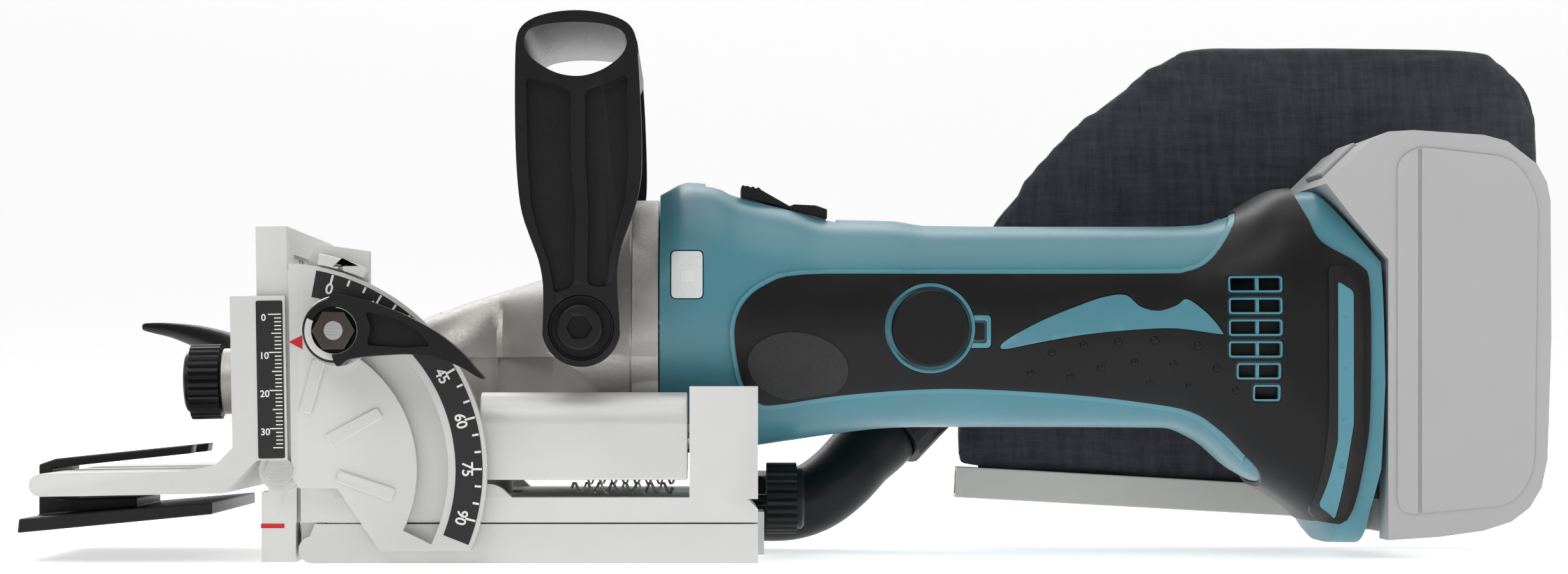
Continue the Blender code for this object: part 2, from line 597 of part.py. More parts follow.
def motor_housing(side, word):
    """One moulded half of the motor and handle housing."""
    body = loft(0.0, name="motor_housing_" + word)
    cut(body, prism("Y", REAR_CUT, -60, 60))
    inner = loft(-2.6, x_min=30.0, x_max=231.0, top_max=90.0)
    cut(inner, prism("Y", [(x - 2.6, z) for x, z in REAR_CUT], -60, 60))
    cut(body, inner)
    keep = span(side, 0.15, 60.0)
    boolean(body, box(0, 260, *keep, -20, 130), "INTERSECT")
    recess = [(52.0, 101.7), (88.6, 92.1), (88.6, 120.0), (52.0, 120.0)]
    cut(body, prism("Y", recess, -11, 11))
    cut(body, box(61.4, 76.0, -4, 4, 86.0, 110.0))
    cut(body, disc("Y", (112.6, MOTOR_Z), 8.4, *span(side, 24.0, 44.0), n=24))
    cut(body, box(226.0, 240.0, -12, 12, 20.0, 70.0))
    if side < 0:
        pocket = box(LENS_X[0] - GAP, LENS_X[1] + GAP, -60, -25, LENS_Z[0] - GAP, LENS_Z[1] + GAP)
        cut(body, cut(pocket, loft(-1.5, x_min=30.0, x_max=240.0)))
    for k in range(4):
        z = 71.8 - 5.88 * k
        cut(body, box(194.0, 207.0, *span(side, 25.0, 44.0), z - 3.6, z))
    return node(body, "motor_housing_" + word, "teal")


PANEL = [(59.7, 63.0), (59.7, 57.0), (61.2, 48.0), (65.0, 41.6), (90.0, 44.4), (118.0, 46.1), (150.0, 44.6)]
PANEL += [(172.0, 42.2), (184.0, 40.7), (190.0, 37.5), (198.0, 27.2), (210.3, 21.2), (219.5, 14.4)]
PANEL += [(219.5, 97.6), (210.0, 97.6), (201.0, 93.2), (193.0, 84.0), (184.0, 77.4), (75.0, 77.2), (66.0, 73.5)]


def grip_panel(side, word):
    """The soft black overmoulding of one side."""
    body = loft(1.5, name="grip_" + word)
    cut(body, loft(GAP, x_min=31.0, x_max=241.0))
    boolean(body, prism("Y", PANEL, *span(side, 14.3, 60.0)), "INTERSECT")
    cut(body, disc("Y", (112.6, MOTOR_Z), 12.3, *span(side, 19.0, 46.0), n=30))
    for k in range(4):
        z = 71.8 - 5.88 * k
        cut(body, box(193.4, 207.3, *span(side, 24.0, 45.0), z - 4.2, z + 0.85))
    return node(body, "grip_" + word, "grip")


def brush_gear(side, word):
    """A carbon brush and its screw cap."""
    at = (112.6, MOTOR_Z)
    block = box(109.5, 115.7, *span(side, 10.6, 23.0), MOTOR_Z - 2.7, MOTOR_Z + 2.7)
    node(block, "carbon_brush_" + word, "carbon")
    cap = turned("Y", at, [(7.9, 30.5 * side), (7.9, 35.0 * side), (10.6, 35.0 * side), (10.6, 36.6 * side)], 28)
    slot = [(105.0, MOTOR_Z - 0.9), (120.0, MOTOR_Z - 0.9), (120.0, MOTOR_Z + 0.9), (105.0, MOTOR_Z + 0.9)]
    cut(cap, prism("Y", slot, *span(side, 35.5, 44.0)))
    node(cap, "brush_cap_" + word, "black")


def bearing(name, axis, at, r0, r1, t0, t1):
    """A ball bearing as one closed ring with a groove between its races."""
    mid, wide, deep = (r0 + r1) / 2, (r1 - r0) * 0.18, t1 - 0.6
    loop = [(r0, t0), (r1, t0), (r1, t1), (mid + wide, t1), (mid + wide, deep)]
    loop += [(mid - wide, deep), (mid - wide, t1), (r0, t1)]
    return node(revolve(axis, at, loop, 24, name), name, "steel")


def motor_fixed_parts():
    """Stator, bearings, switch and terminals."""
    axis = (0, MOTOR_Z)
    stator = tube("X", axis, 20.0, 26.4, 52.0, 86.0, 32, "stator")
    for side in (-1, 1):
        cut(stator, box(50, 88, *span(side, 17.0, 23.5), MOTOR_Z - 5, MOTOR_Z + 5))
    node(stator, "stator", "dark_steel")
    bearing("armature_bearing_front", "X", axis, 3.3, 6.6, 8.0, 14.0)
    bearing("spindle_bearing_lower", "Z", (BLADE_X, 0), 5.3, 10.1, 25.0, 32.6)
    seat = tube("X", axis, 3.3, 11.5, 121.0, 131.0, 32, "bearing_seat")
    join(seat, box(123.0, 129.0, -29.0, -11.0, MOTOR_Z - 4, MOTOR_Z + 4))
    join(seat, box(123.0, 129.0, 11.0, 29.0, MOTOR_Z - 4, MOTOR_Z + 4))
    node(seat, "bearing_seat", "black")
    unit = bevel(box(138.0, 168.0, -11, 11, 50.0, 76.0), 1.0)
    join(unit, box(144.0, 150.0, -3, 3, 75.0, 80.0))
    node(unit, "switch_unit", "black")
    plate = box(235.9, 240.6, -23, 23, 16.0, 78.0, "battery_terminal")
    join(plate, box(228.6, 236.4, -11.6, 11.6, 20.4, 69.6))
    join(plate, box(240.2, 242.4, -27, 27, 16.0, 78.0))
    for y in (-13.0, 13.0):
        join(plate, box(242.0, 246.4, y - 0.8, y + 0.8, 24.0, 46.0))
    node(plate, "battery_terminal", "black")


def lamp_lens():
    """The frosted window of the work lamp."""
    body = loft(0.5, name="lamp_lens")
    cut(body, loft(-1.2, x_min=30.0, x_max=240.0))
    boolean(body, box(*LENS_X, -60, -25, *LENS_Z), "INTERSECT")
    return node(body, "lamp_lens", "frosted")


def slide_switch():
    """The thumb switch on top: a plate along the slope with a ridged front hump."""
    lift = 0.5
    plate = [(61.8, 99.1 + lift), (85.7, 92.9 + lift), (85.7, 96.0), (82.5, 97.1), (76.5, 97.4), (75.3, 96.9)]
    for k in range(4):
        x = 67.4 - 1.5 * k
        plate += [(x, 101.4 + 0.35 * k), (x - 0.7, 102.2 + 0.2 * k)]
    plate += [(61.8, 102.0)]
    body = prism("Y", plate, -8.5, 8.5, "slide_switch")
    join(body, box(68.5, 72.0, -2.6, 2.6, 89.0, 98.5))
    return node(body, "slide_switch", "black")


def shaft_lock():
    """The spindle lock button on top of the gear housing."""
    body = turned("Z", (14.0, 0), [(5.9, 77.2), (5.9, 84.4), (5.2, 85.6)], 24)
    return node(body, "shaft_lock_button", "black")


def stop_screw():
    """The adjustable screw that meets the depth dial."""
    body = disc("X", (44.0, 41.0), 1.6, -20.0, 2.0, 16)
    join(body, disc("X", (44.0, 41.0), 3.1, -11.4, -8.4, 6))
    return node(body, "stop_screw", "steel")


# ---------------------------------------------------------------- spindle and armature
def cone_gear(axis, centre, apex, teeth, far_r, face, back, name, hub, phase=0.0):
    """A bevel gear whose toothed face stays just inside its pitch cone.

    The cone's tip is the apex on the axis; far_r is the pitch radius at the large end, which lies depth
    away from the apex, and back is how far the blank reaches behind it.
    """
    cu, cv = centre
    t_far, away = apex
    near_r = far_r * face
    rows = []
    for r, t, deep in ((near_r, t_far[0], 0.35), (far_r, t_far[1], 0.6)):
        row = []
        for i in range(teeth):
            for step, drop in ((0.0, 0.12), (0.45, deep)):
                a = 2 * math.pi * (i + step + phase) / teeth
                row.append(place(axis, cu + (r - drop) * math.cos(a), cv + (r - drop) * math.sin(a), t + away * drop))
        rows.append(row)
    n = len(rows[0])
    for r, t in back:
        rows.append([place(axis, cu + r * math.cos(2 * math.pi * (i + phase) / n),
                           cv + r * math.sin(2 * math.pi * (i + phase) / n), t) for i in range(n)])
    verts = [v for row in rows for v in row]
    faces = []
    for k in range(len(rows) - 1):
        for i in range(n):
            j = (i + 1) % n
            faces.append((k * n + i, k * n + j, (k + 1) * n + j, (k + 1) * n + i))
    last = (len(rows) - 1) * n
    faces += [tuple(range(n)), tuple(range(last, last + n))]
    body = make(name, verts, faces)
    return cut(body, disc(axis, centre, hub, -60, 160, 24))


def spindle_parts():
    """The vertical spindle with the bevel gear, flange, blade and nut."""
    at = (BLADE_X, 0)
    tip = MOTOR_Z
    depth = GEAR_R * PINION_TEETH / GEAR_TEETH
    shaft = turned("Z", at, [(4.2, 4.2), (4.2, 12.0), (5.0, 12.0), (5.0, tip - depth - 0.8)], 24, "spindle")
    node(shaft, "spindle", "steel")
    gear = cone_gear("Z", at, ((tip - depth * 0.66 - 0.2, tip - depth - 0.2), -1.0), GEAR_TEETH, GEAR_R, 0.66,
                     [(GEAR_R * 0.97, tip - depth - 2.4), (8.6, tip - depth - 6.4)], "bevel_gear", 5.3)
    node(gear, "bevel_gear", "steel")
    flange = turned("Z", at, [(11.0, 11.9), (11.0, 13.0), (8.4, 13.0), (8.4, 23.6)], 32, "blade_flange")
    node(cut(flange, disc("Z", at, 5.3, 8, 30, 24)), "blade_flange", "steel")
    nut = turned("Z", at, [(11.5, 4.0), (12.0, 4.6), (12.0, 8.1)], 32, "blade_nut")
    node(cut(nut, disc("Z", at, 4.5, 0, 10, 24)), "blade_nut", "dark_steel")
    blade = disc("Z", at, 44.5, BLADE_Z - 1.5, BLADE_Z + 1.5, 40, "blade")
    for i in range(6):
        a = 2 * math.pi * i / 6
        head, tail = [], []
        for r, off in ((40.0, -0.06), (49.6, 0.0), (BLADE_R, 0.03), (46.0, 0.30), (40.0, 0.34)):
            head.append((at[0] + r * math.cos(a + off), r * math.sin(a + off)))
        for r, off in ((43.0, -0.035), (49.9, 0.0), (49.9, 0.045), (43.0, 0.045)):
            tail.append((at[0] + r * math.cos(a + off), r * math.sin(a + off)))
        join(blade, prism("Z", head, BLADE_Z - 1.5, BLADE_Z + 1.5), prism("Z", tail, BLADE_Z - 2.0, BLADE_Z + 2.0))
    for i in range(4):
        a = 2 * math.pi * (i + 0.4) / 4
        cut(blade, disc("Z", (at[0] + 26 * math.cos(a), 26 * math.sin(a)), 4.0, 0, 20, 10))
    cut(blade, disc("Z", at, 4.5, 0, 20, 24))
    node(blade, "blade", "steel")


def armature_parts():
    """The motor's rotor on its shaft, with fan and pinion."""
    axis = (0, MOTOR_Z)
    apex = BLADE_X
    node(disc("X", axis, 3.0, 3.9, 132.0, 20), "armature_shaft", "steel")
    pinion = cone_gear("X", axis, ((apex + GEAR_R * 0.66, apex + GEAR_R), 0.0), PINION_TEETH, PINION_R, 0.66,
                       [(PINION_R * 0.97, apex + GEAR_R + 2.0), (3.0, apex + GEAR_R + 3.2)], "drive_pinion", 1.2, 0.5)
    node(pinion, "drive_pinion", "steel")
    core = tube("X", axis, 3.3, 19.2, 54.0, 84.0, 32, "armature_core")
    for i in range(8):
        a = 2 * math.pi * i / 8
        y, z = 18.8 * math.cos(a), MOTOR_Z + 18.8 * math.sin(a)
        cut(core, disc("X", (y, z), 2.0, 50.0, 90.0, 6))
    node(core, "armature_core", "copper")
    ring_ = tube("X", axis, 3.3, 10.0, 105.0, 119.0, 24, "commutator")
    for i in range(8):
        a = 2 * math.pi * (i + 0.5) / 8
        y, z = 10.0 * math.cos(a), MOTOR_Z + 10.0 * math.sin(a)
        cut(ring_, disc("X", (y, z), 0.5, 100.0, 121.0, 4))
    node(ring_, "commutator", "copper")
    section = [(3.3, 42.0), (9.0, 42.0), (9.0, 48.2), (21.0, 48.2), (21.0, 49.8), (3.3, 49.8)]
    fan = revolve("X", axis, section, 32, "fan")
    for i in range(9):
        a = 2 * math.pi * i / 9
        blade = [(7.3, -0.5), (20.4, -0.5), (20.4, 0.5), (7.3, 0.5)]
        pts = [(u * math.cos(a) - v * math.sin(a), MOTOR_Z + u * math.sin(a) + v * math.cos(a)) for u, v in blade]
        join(fan, prism("X", pts, 42.6, 49.1))
    node(fan, "fan", "black")


# ---------------------------------------------------------------- handle
def front_handle():
    """The U-shaped front handle: two arms and a hollow cross grip."""
    boss = arc(HANDLE_X, HANDLE_Z, 10.4, 200, 340, 14)
    arm = boss + [(30.6, 80.0), (31.6, 93.0), (35.2, 112.0), (34.4, 140.0)]
    arm += arc(30.0, 142.3, 4.0, 0, 90, 4) + arc(6.0, 141.6, 4.7, 90, 180, 4) + [(2.1, 112.0), (7.4, 93.0), (8.0, 80.0)]
    body = prism("Y", arm, -HANDLE_Y1, HANDLE_Y1, "front_handle")
    gap = box(-20, 60, -HANDLE_Y0, HANDLE_Y0, 40.0, 126.0)
    cut(body, gap)
    eye = arc(17.0, 122.5, 20.5, 43, 137, 12) + arc(17.0, 149.7, 20.5, 223, 317, 12)
    cut(body, prism("Y", eye, -70, 70))
    for side in (-1, 1):
        cut(body, disc("Y", (HANDLE_X, HANDLE_Z), 8.75, *span(side, 53.6, 60.0), n=28))
        cut(body, disc("Y", (HANDLE_X, HANDLE_Z), 3.2, *span(side, 40.0, 60.0), n=20))
        upper = [(10.4, 96.0), (17.4, 96.0), (17.4, 122.0), (7.0, 122.0), (6.4, 112.0)]
        lower = [(20.2, 96.0), (27.6, 96.0), (30.8, 112.0), (30.2, 122.0), (20.2, 122.0)]
        cut(body, prism("Y", upper, *span(side, 54.6, 60.0)), prism("Y", lower, *span(side, 54.6, 60.0)))
    return node(body, "front_handle", "black")


def handle_screw(side, word):
    """The socket screw that the handle turns on."""
    at = (HANDLE_X, HANDLE_Z)
    body = disc("Y", at, 6.2, *span(side, 53.9, 58.0), n=32)
    join(body, disc("Y", at, 2.6, *span(side, 39.0, 54.5), n=16))
    cut(body, disc("Y", at, 3.1, *span(side, 55.0, 60.0), n=6))
    return node(body, "handle_screw_" + word, "steel")


# ---------------------------------------------------------------- battery, bag and dial
def battery():
    """The battery pack with the channel for the tool's rails, and its release button."""
    side_view = [(236.2, 5.2), (279.0, 5.2), (280.2, 8.0), (280.2, 100.0), (277.0, 105.5), (268.0, 115.2)]
    side_view += [(264.0, 116.0), (235.0, 116.0), (219.4, 101.6), (227.2, 91.6), (236.2, 81.0)]
    body = prism("Y", side_view, -37.0, 37.0, "battery")
    bevel(body, 2.2, 2, 25)
    cut(body, box(230, 241.2, -23.6, 23.6, -5, 79.0), box(239.9, 243.0, -27.6, 27.6, -5, 79.0))
    for y in (-13.0, 13.0):
        cut(body, box(242.0, 247.4, y - 2.0, y + 2.0, -5, 60.0))
    at = Vector((227.6, 0, 108.9))
    turn = Matrix.Translation(at * MM) @ Matrix.Rotation(math.radians(-43.0), 4, "Y")
    pocket = box(-7.0, 7.0, -13, 13, -4.6, 10.0)
    pocket.matrix_world = turn
    cut(body, pocket)
    node(body, "battery", "pack")
    button = bevel(box(-6.5, 6.5, -12.5, 12.5, -1.8, 1.6), 0.6)
    button.matrix_world = turn
    node(button, "battery_button", "black")


BAG = [(131.0, 26.0), (127.5, 32.0), (131.0, 60.0), (135.3, 93.7), (145.0, 103.7), (160.0, 121.6)]
BAG += [(175.0, 132.5), (190.0, 144.0), (198.0, 148.0), (216.5, 147.6), (243.0, 147.8), (281.0, 146.3)]
BAG += [(285.5, 144.6), (296.0, 135.4), (299.3, 123.3), (299.6, 100.0), (294.0, 60.0), (285.0, 22.0)]


def dust_bag():
    """The cloth bag, its stiff neck and the slide fastener along its hem."""
    body = prism("Y", BAG, 46.0, 71.0, "dust_bag")
    bevel(body, 7.0, 2)
    hem = [(133.0, 17.6), (281.0, 9.6), (283.0, 30.0), (133.0, 36.0)]
    join(body, prism("Y", hem, 57.3, 59.7))
    end = NECK_AT + NECK_DIR * 30.0
    cut(body, sweep([tuple(NECK_AT), tuple(end + NECK_DIR * 6)], 13.4, 24))
    node(body, "dust_bag", "cloth")
    neck = sweep([tuple(NECK_AT + NECK_DIR * 1.0), tuple(end), tuple(end + NECK_DIR * 5)], [13.0, 13.0, 12.6], 28)
    cut(neck, sweep([tuple(NECK_AT - NECK_DIR * 3), tuple(end + NECK_DIR * 12)], 10.8, 24))
    node(neck, "bag_neck", "black")
    bar = [(126.0, 13.4), (277.0, 5.0), (277.6, 15.2), (126.4, 23.6)]
    clip = prism("Y", bar, 54.0, 63.0, "bag_fastener")
    inside = [(120.0, 15.9), (290.0, 6.5), (290.6, 13.0), (120.4, 22.2)]
    mouth = [(120.0, 20.0), (290.0, 10.6), (290.6, 24.0), (120.4, 30.0)]
    cut(clip, prism("Y", inside, 56.0, 61.0), prism("Y", mouth, 57.0 - 0.4, 60.0 + 0.4))
    node(clip, "bag_fastener", "ivory")


def depth_dial():
    """The six-step depth stop on the far side."""
    cy, cz = 44.0, 49.0
    body = disc("X", (cy, cz), 11.4, -49.9, -45.6, 24, "depth_dial")
    for i in range(6):
        a = math.radians(-90 + 60 * i)
        at = (cy + 8.0 * math.cos(a), cz + 8.0 * math.sin(a))
        join(body, disc("X", at, 2.6, -46.0, -44.4 + 2.6 * i, 10))
    join(body, disc("X", (cy, cz), 2.5, -56.0, -49.0, 16))
    join(body, disc("X", (cy, cz), 4.0, -46.0, -43.4, 20))
    return node(body, "depth_dial", "black")


# ---------------------------------------------------------------- build
base_frame()
blade_cover()
cover_knob()
both(rods_and_pins)
both(return_spring)
pointer_bracket()
lock_bolt()
dust_elbow()
angle_guide()
rack()
fence()
fence_knob()
fence_lever()
set_plate()
angle_lever()
gear_housing()
both(motor_housing)
both(grip_panel)
both(brush_gear)
motor_fixed_parts()
lamp_lens()
slide_switch()
shaft_lock()
stop_screw()
spindle_parts()
armature_parts()
front_handle()
both(handle_screw)
battery()
dust_bag()
depth_dial()
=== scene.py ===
import math

import bmesh
import bpy
from mathutils import Matrix, Vector, noise


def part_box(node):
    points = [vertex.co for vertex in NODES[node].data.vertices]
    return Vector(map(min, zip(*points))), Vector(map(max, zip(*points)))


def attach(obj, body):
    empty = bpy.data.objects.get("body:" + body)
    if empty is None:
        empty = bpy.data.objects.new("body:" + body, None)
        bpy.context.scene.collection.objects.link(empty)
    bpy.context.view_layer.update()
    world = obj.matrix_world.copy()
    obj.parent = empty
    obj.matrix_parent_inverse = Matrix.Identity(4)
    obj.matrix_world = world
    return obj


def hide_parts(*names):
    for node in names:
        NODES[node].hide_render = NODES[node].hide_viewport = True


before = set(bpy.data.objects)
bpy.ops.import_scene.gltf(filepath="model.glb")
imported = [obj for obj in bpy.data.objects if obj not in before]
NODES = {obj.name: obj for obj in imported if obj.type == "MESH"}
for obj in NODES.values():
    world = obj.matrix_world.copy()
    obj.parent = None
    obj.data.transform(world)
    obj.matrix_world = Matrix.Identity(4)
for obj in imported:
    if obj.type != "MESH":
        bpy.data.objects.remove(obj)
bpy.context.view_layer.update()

MM = 0.001
SCENE = bpy.context.scene


def at(node, axis, end):
    """One corner coordinate of a CAD node in millimetres."""
    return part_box(node)[end][axis] / MM


def middle(node):
    """The middle of a CAD node in side view, in millimetres."""
    return [(at(node, axis, 0) + at(node, axis, 1)) / 2 for axis in (0, 2)]


# ================================================================ driving places, from the frame
PIN_X, PIN_Z = middle("guide_pin_left")
LOCK_X, LOCK_Z = middle("lever_washer")
CAP_X, CAP_Z = middle("brush_cap_left")
HANDLE_X, HANDLE_Z = middle("handle_screw_left")
ARM_Y = at("front_handle", 1, 1)
LEAN = math.radians(1.0)
QUAD_Y = at("angle_guide", 1, 0)
KNOB_Z = 48.6


# ================================================================ materials
def shader(name, colour, rough, metal=0.0, spec=0.5, coat=0.0, sheen=0.0):
    """A Principled material with its plain values set, and its node tools."""
    mat = bpy.data.materials.new(name)
    mat.use_nodes = True
    tree = mat.node_tree
    bsdf = tree.nodes["Principled BSDF"]
    bsdf.inputs["Base Color"].default_value = (*colour, 1)
    bsdf.inputs["Roughness"].default_value = rough
    bsdf.inputs["Metallic"].default_value = metal
    bsdf.inputs["Specular IOR Level"].default_value = spec
    bsdf.inputs["Coat Weight"].default_value = coat
    bsdf.inputs["Coat Roughness"].default_value = 0.25
    bsdf.inputs["Sheen Weight"].default_value = sheen
    bsdf.inputs["Sheen Roughness"].default_value = 0.5
    return mat, tree, bsdf


def add(tree, kind, **values):
    """A node with its settings and plain inputs."""
    made = tree.nodes.new(kind)
    for key, value in values.items():
        key = key.replace("__", " ")
        if hasattr(made, key):
            setattr(made, key, value)
        else:
            made.inputs[key].default_value = value
    return made


def noise_map(tree, scale, detail=3.0, rough=0.55, stretch=(1, 1, 1)):
    """Noise over the object's own coordinates; scale counts per metre."""
    coords = add(tree, "ShaderNodeTexCoord")
    mapping = add(tree, "ShaderNodeMapping")
    mapping.inputs["Scale"].default_value = stretch
    tex = add(tree, "ShaderNodeTexNoise", Scale=scale, Detail=detail, Roughness=rough)
    tree.links.new(coords.outputs["Object"], mapping.inputs["Vector"])
    tree.links.new(mapping.outputs["Vector"], tex.inputs["Vector"])
    return tex.outputs["Fac"]


def spread(tree, fac, low, high, start=0.3, stop=0.7):
    """Maps a 0..1 factor to a range of numbers."""
    made = add(tree, "ShaderNodeMapRange")
    for key, value in (("From Min", start), ("From Max", stop), ("To Min", low), ("To Max", high)):
        made.inputs[key].default_value = value
    tree.links.new(fac, made.inputs["Value"])
    return made.outputs["Result"]


def blend_colours(tree, fac, one, two):
    """A colour between two, by a factor."""
    made = add(tree, "ShaderNodeMix", data_type="RGBA")
    made.inputs[6].default_value = (*one, 1)
    made.inputs[7].default_value = (*two, 1)
    tree.links.new(fac, made.inputs[0])
    return made.outputs[2]


def bumped(tree, bsdf, *layers):
    """Adds height maps one on another: (factor, strength, distance in millimetres)."""
    last = None
    for fac, strength, distance in layers:
        made = add(tree, "ShaderNodeBump", Strength=strength, Distance=distance * MM)
        tree.links.new(fac, made.inputs["Height"])
        if last:
            tree.links.new(last, made.inputs["Normal"])
        last = made.outputs["Normal"]
    tree.links.new(last, bsdf.inputs["Normal"])


def worn_edges(tree, colour_out, bsdf, bright, amount):
    """Lightens convex edges a little, as handling does."""
    geo = add(tree, "ShaderNodeNewGeometry")
    fac = spread(tree, geo.outputs["Pointiness"], 0.0, amount, 0.53, 0.62)
    made = add(tree, "ShaderNodeMix", data_type="RGBA")
    tree.links.new(fac, made.inputs[0])
    tree.links.new(colour_out, made.inputs[6])
    made.inputs[7].default_value = (*bright, 1)
    tree.links.new(made.outputs[2], bsdf.inputs["Base Color"])


def surface(name, colour, rough, metal=0.0, grain=1800, height=0.03, strength=0.35, vary=0.08,
            rough_vary=0.06, streak=(1, 1, 1), wear=0.0, **more):
    """The shared recipe: mottled colour, uneven gloss and a grain at its real size."""
    mat, tree, bsdf = shader(name, colour, rough, metal, **more)
    broad = noise_map(tree, 38, 4)
    fine = noise_map(tree, grain, 3, 0.6, streak)
    dark = tuple(c * (1 - vary) for c in colour)
    light = tuple(min(1.0, c * (1 + vary)) for c in colour)
    colour_out = blend_colours(tree, spread(tree, broad, 0, 1), dark, light)
    if wear:
        worn_edges(tree, colour_out, bsdf, tuple(min(1, c * 1.6 + 0.03) for c in colour), wear)
    else:
        tree.links.new(colour_out, bsdf.inputs["Base Color"])
    tree.links.new(spread(tree, fine, rough - rough_vary, rough + rough_vary), bsdf.inputs["Roughness"])
    bumped(tree, bsdf, (noise_map(tree, 160, 2), 0.06, 0.2), (fine, strength, height))
    return mat


def cloth(name, colour):
    """Plain-woven nylon: two crossing thread sets with uneven yarn and a slight sheen."""
    mat, tree, bsdf = shader(name, colour, 0.86, 0.0, spec=0.25, sheen=0.25)
    coords = add(tree, "ShaderNodeTexCoord")
    waves = []
    for direction in ("X", "Z"):
        wave = add(tree, "ShaderNodeTexWave", wave_type="BANDS", bands_direction=direction, Scale=430.0)
        wave.inputs["Distortion"].default_value = 1.1
        wave.inputs["Detail"].default_value = 1.5
        wave.inputs["Detail Scale"].default_value = 0.6
        tree.links.new(coords.outputs["Object"], wave.inputs["Vector"])
        waves.append(wave.outputs["Fac"])
    weave = add(tree, "ShaderNodeMath", operation="MULTIPLY")
    tree.links.new(waves[0], weave.inputs[0])
    tree.links.new(waves[1], weave.inputs[1])
    slub = noise_map(tree, 260, 4, 0.7, (0.2, 1, 1.6))
    slub_v = noise_map(tree, 260, 4, 0.7, (1.6, 1, 0.2))
    both = add(tree, "ShaderNodeMath", operation="ADD")
    tree.links.new(slub, both.inputs[0])
    tree.links.new(slub_v, both.inputs[1])
    light = tuple(c * 2.2 + 0.012 for c in colour)
    shade = blend_colours(tree, spread(tree, both.outputs[0], 0, 1, 0.75, 1.3), colour, light)
    tree.links.new(shade, bsdf.inputs["Base Color"])
    tree.links.new(spread(tree, slub, 0.78, 0.95), bsdf.inputs["Roughness"])
    bumped(tree, bsdf, (noise_map(tree, 30, 3), 0.35, 1.2), (both.outputs[0], 0.25, 0.12),
           (weave.outputs[0], 0.55, 0.12))
    return mat


TEAL = surface("teal_nylon", (0.074, 0.243, 0.305), 0.36, grain=1500, height=0.02, strength=0.25, vary=0.05,
               wear=0.25)
GRIP = surface("soft_grip", (0.0085, 0.0085, 0.0095), 0.4, grain=2300, height=0.03, strength=0.5, vary=0.2,
               wear=0.08, spec=0.24)
PAD = surface("textured_pad", (0.02, 0.02, 0.021), 0.7, grain=900, height=0.14, strength=0.9, vary=0.15)
BLACK = surface("black_nylon", (0.009, 0.009, 0.010), 0.36, grain=1300, height=0.04, strength=0.5, vary=0.2,
                wear=0.2, spec=0.26)
SATIN = surface("blasted_aluminium", (0.70, 0.70, 0.68), 0.42, 0.35, grain=2600, height=0.02, strength=0.4,
                vary=0.03, rough_vary=0.08, wear=0.2)
CAST = surface("cast_aluminium", (0.50, 0.485, 0.46), 0.45, 0.6, grain=1100, height=0.09, strength=0.55,
               vary=0.06, rough_vary=0.1, wear=0.25)
STEEL = surface("ground_steel", (0.62, 0.62, 0.61), 0.26, 1.0, grain=900, height=0.02, strength=0.3,
                streak=(0.15, 3, 3), vary=0.06)
DARK = surface("blacked_steel", (0.075, 0.06, 0.05), 0.38, 0.9, grain=900, height=0.04, strength=0.4, vary=0.2,
               wear=0.5)
COPPER = surface("copper_bars", (0.72, 0.36, 0.2), 0.35, 1.0, grain=700)
IVORY = surface("ivory_extrusion", (0.72, 0.70, 0.65), 0.5, grain=900, height=0.03, streak=(0.1, 1, 1), vary=0.04)
PACK = surface("pale_pack", (0.46, 0.46, 0.46), 0.5, grain=1500, height=0.02, strength=0.2, vary=0.02)
# The pack colour made darker for the release button in its recess: the darkening is painted shade.
PACK_RECESS_SHADE = surface("pale_pack_painted_recess_shade", (0.42, 0.42, 0.42), 0.55, grain=1500, height=0.02, vary=0.02)
LENS = surface("frosted_lens", (0.78, 0.80, 0.80), 0.3, grain=1200, height=0.02, strength=0.3, vary=0.03)
RED = surface("red_paint", (0.62, 0.012, 0.014), 0.4, grain=1500, height=0.02, vary=0.05)
WHITE = surface("white_print", (0.85, 0.85, 0.83), 0.5, grain=1500, height=0.01, vary=0.02)
LABEL = surface("black_label", (0.012, 0.012, 0.013), 0.34, grain=1800, height=0.01, strength=0.2, vary=0.1)
BAG = cloth("woven_nylon", (0.021, 0.022, 0.029))


# ================================================================ mesh helpers
def make(verts, faces, name="solid"):
    """An object from points in millimetres with its faces outward."""
    mesh = bpy.data.meshes.new(name)
    mesh.from_pydata([tuple(c * MM for c in v) for v in verts], [], faces)
    bm = bmesh.new()
    bm.from_mesh(mesh)
    bmesh.ops.recalc_face_normals(bm, faces=bm.faces)
    if bm.calc_volume(signed=True) < 0:
        bmesh.ops.reverse_faces(bm, faces=bm.faces)
    bm.to_mesh(mesh)
    bm.free()
    obj = bpy.data.objects.new(name, mesh)
    SCENE.collection.objects.link(obj)
    return obj


def place(axis, u, v, t):
    return {"Y": (u, t, v), "X": (t, u, v), "Z": (u, v, t)}[axis]


def bridge(rows, closed_loop=False):
    """Vertices and faces between rows of equal length, capped unless the rows close on themselves."""
    n, count = len(rows[0]), len(rows)
    verts = [p for row in rows for p in row]
    faces = []
    for k in range(count if closed_loop else count - 1):
        m = (k + 1) % count
        for i in range(n):
            j = (i + 1) % n
            faces.append((k * n + i, k * n + j, m * n + j, m * n + i))
    if not closed_loop:
        faces += [tuple(range(n)), tuple(range((count - 1) * n, count * n))]
    return verts, faces


def prism(axis, points, t0, t1):
    return make(*bridge([[place(axis, u, v, t) for u, v in points] for t in (t0, t1)]))


def box(x0, x1, y0, y1, z0, z1):
    return prism("Z", [(x0, y0), (x1, y0), (x1, y1), (x0, y1)], z0, z1)


def ring(r, n=48, cu=0.0, cv=0.0):
    angles = [2 * math.pi * i / n for i in range(n)]
    return [(cu + r * math.cos(a), cv + r * math.sin(a)) for a in angles]


def arc(cu, cv, r, a0, a1, n=12):
    steps = [math.radians(a0 + (a1 - a0) * i / n) for i in range(n + 1)]
    return [(cu + r * math.cos(a), cv + r * math.sin(a)) for a in steps]


def disc(axis, centre, r, t0, t1, n=48):
    return prism(axis, ring(r, n, *centre), t0, t1)


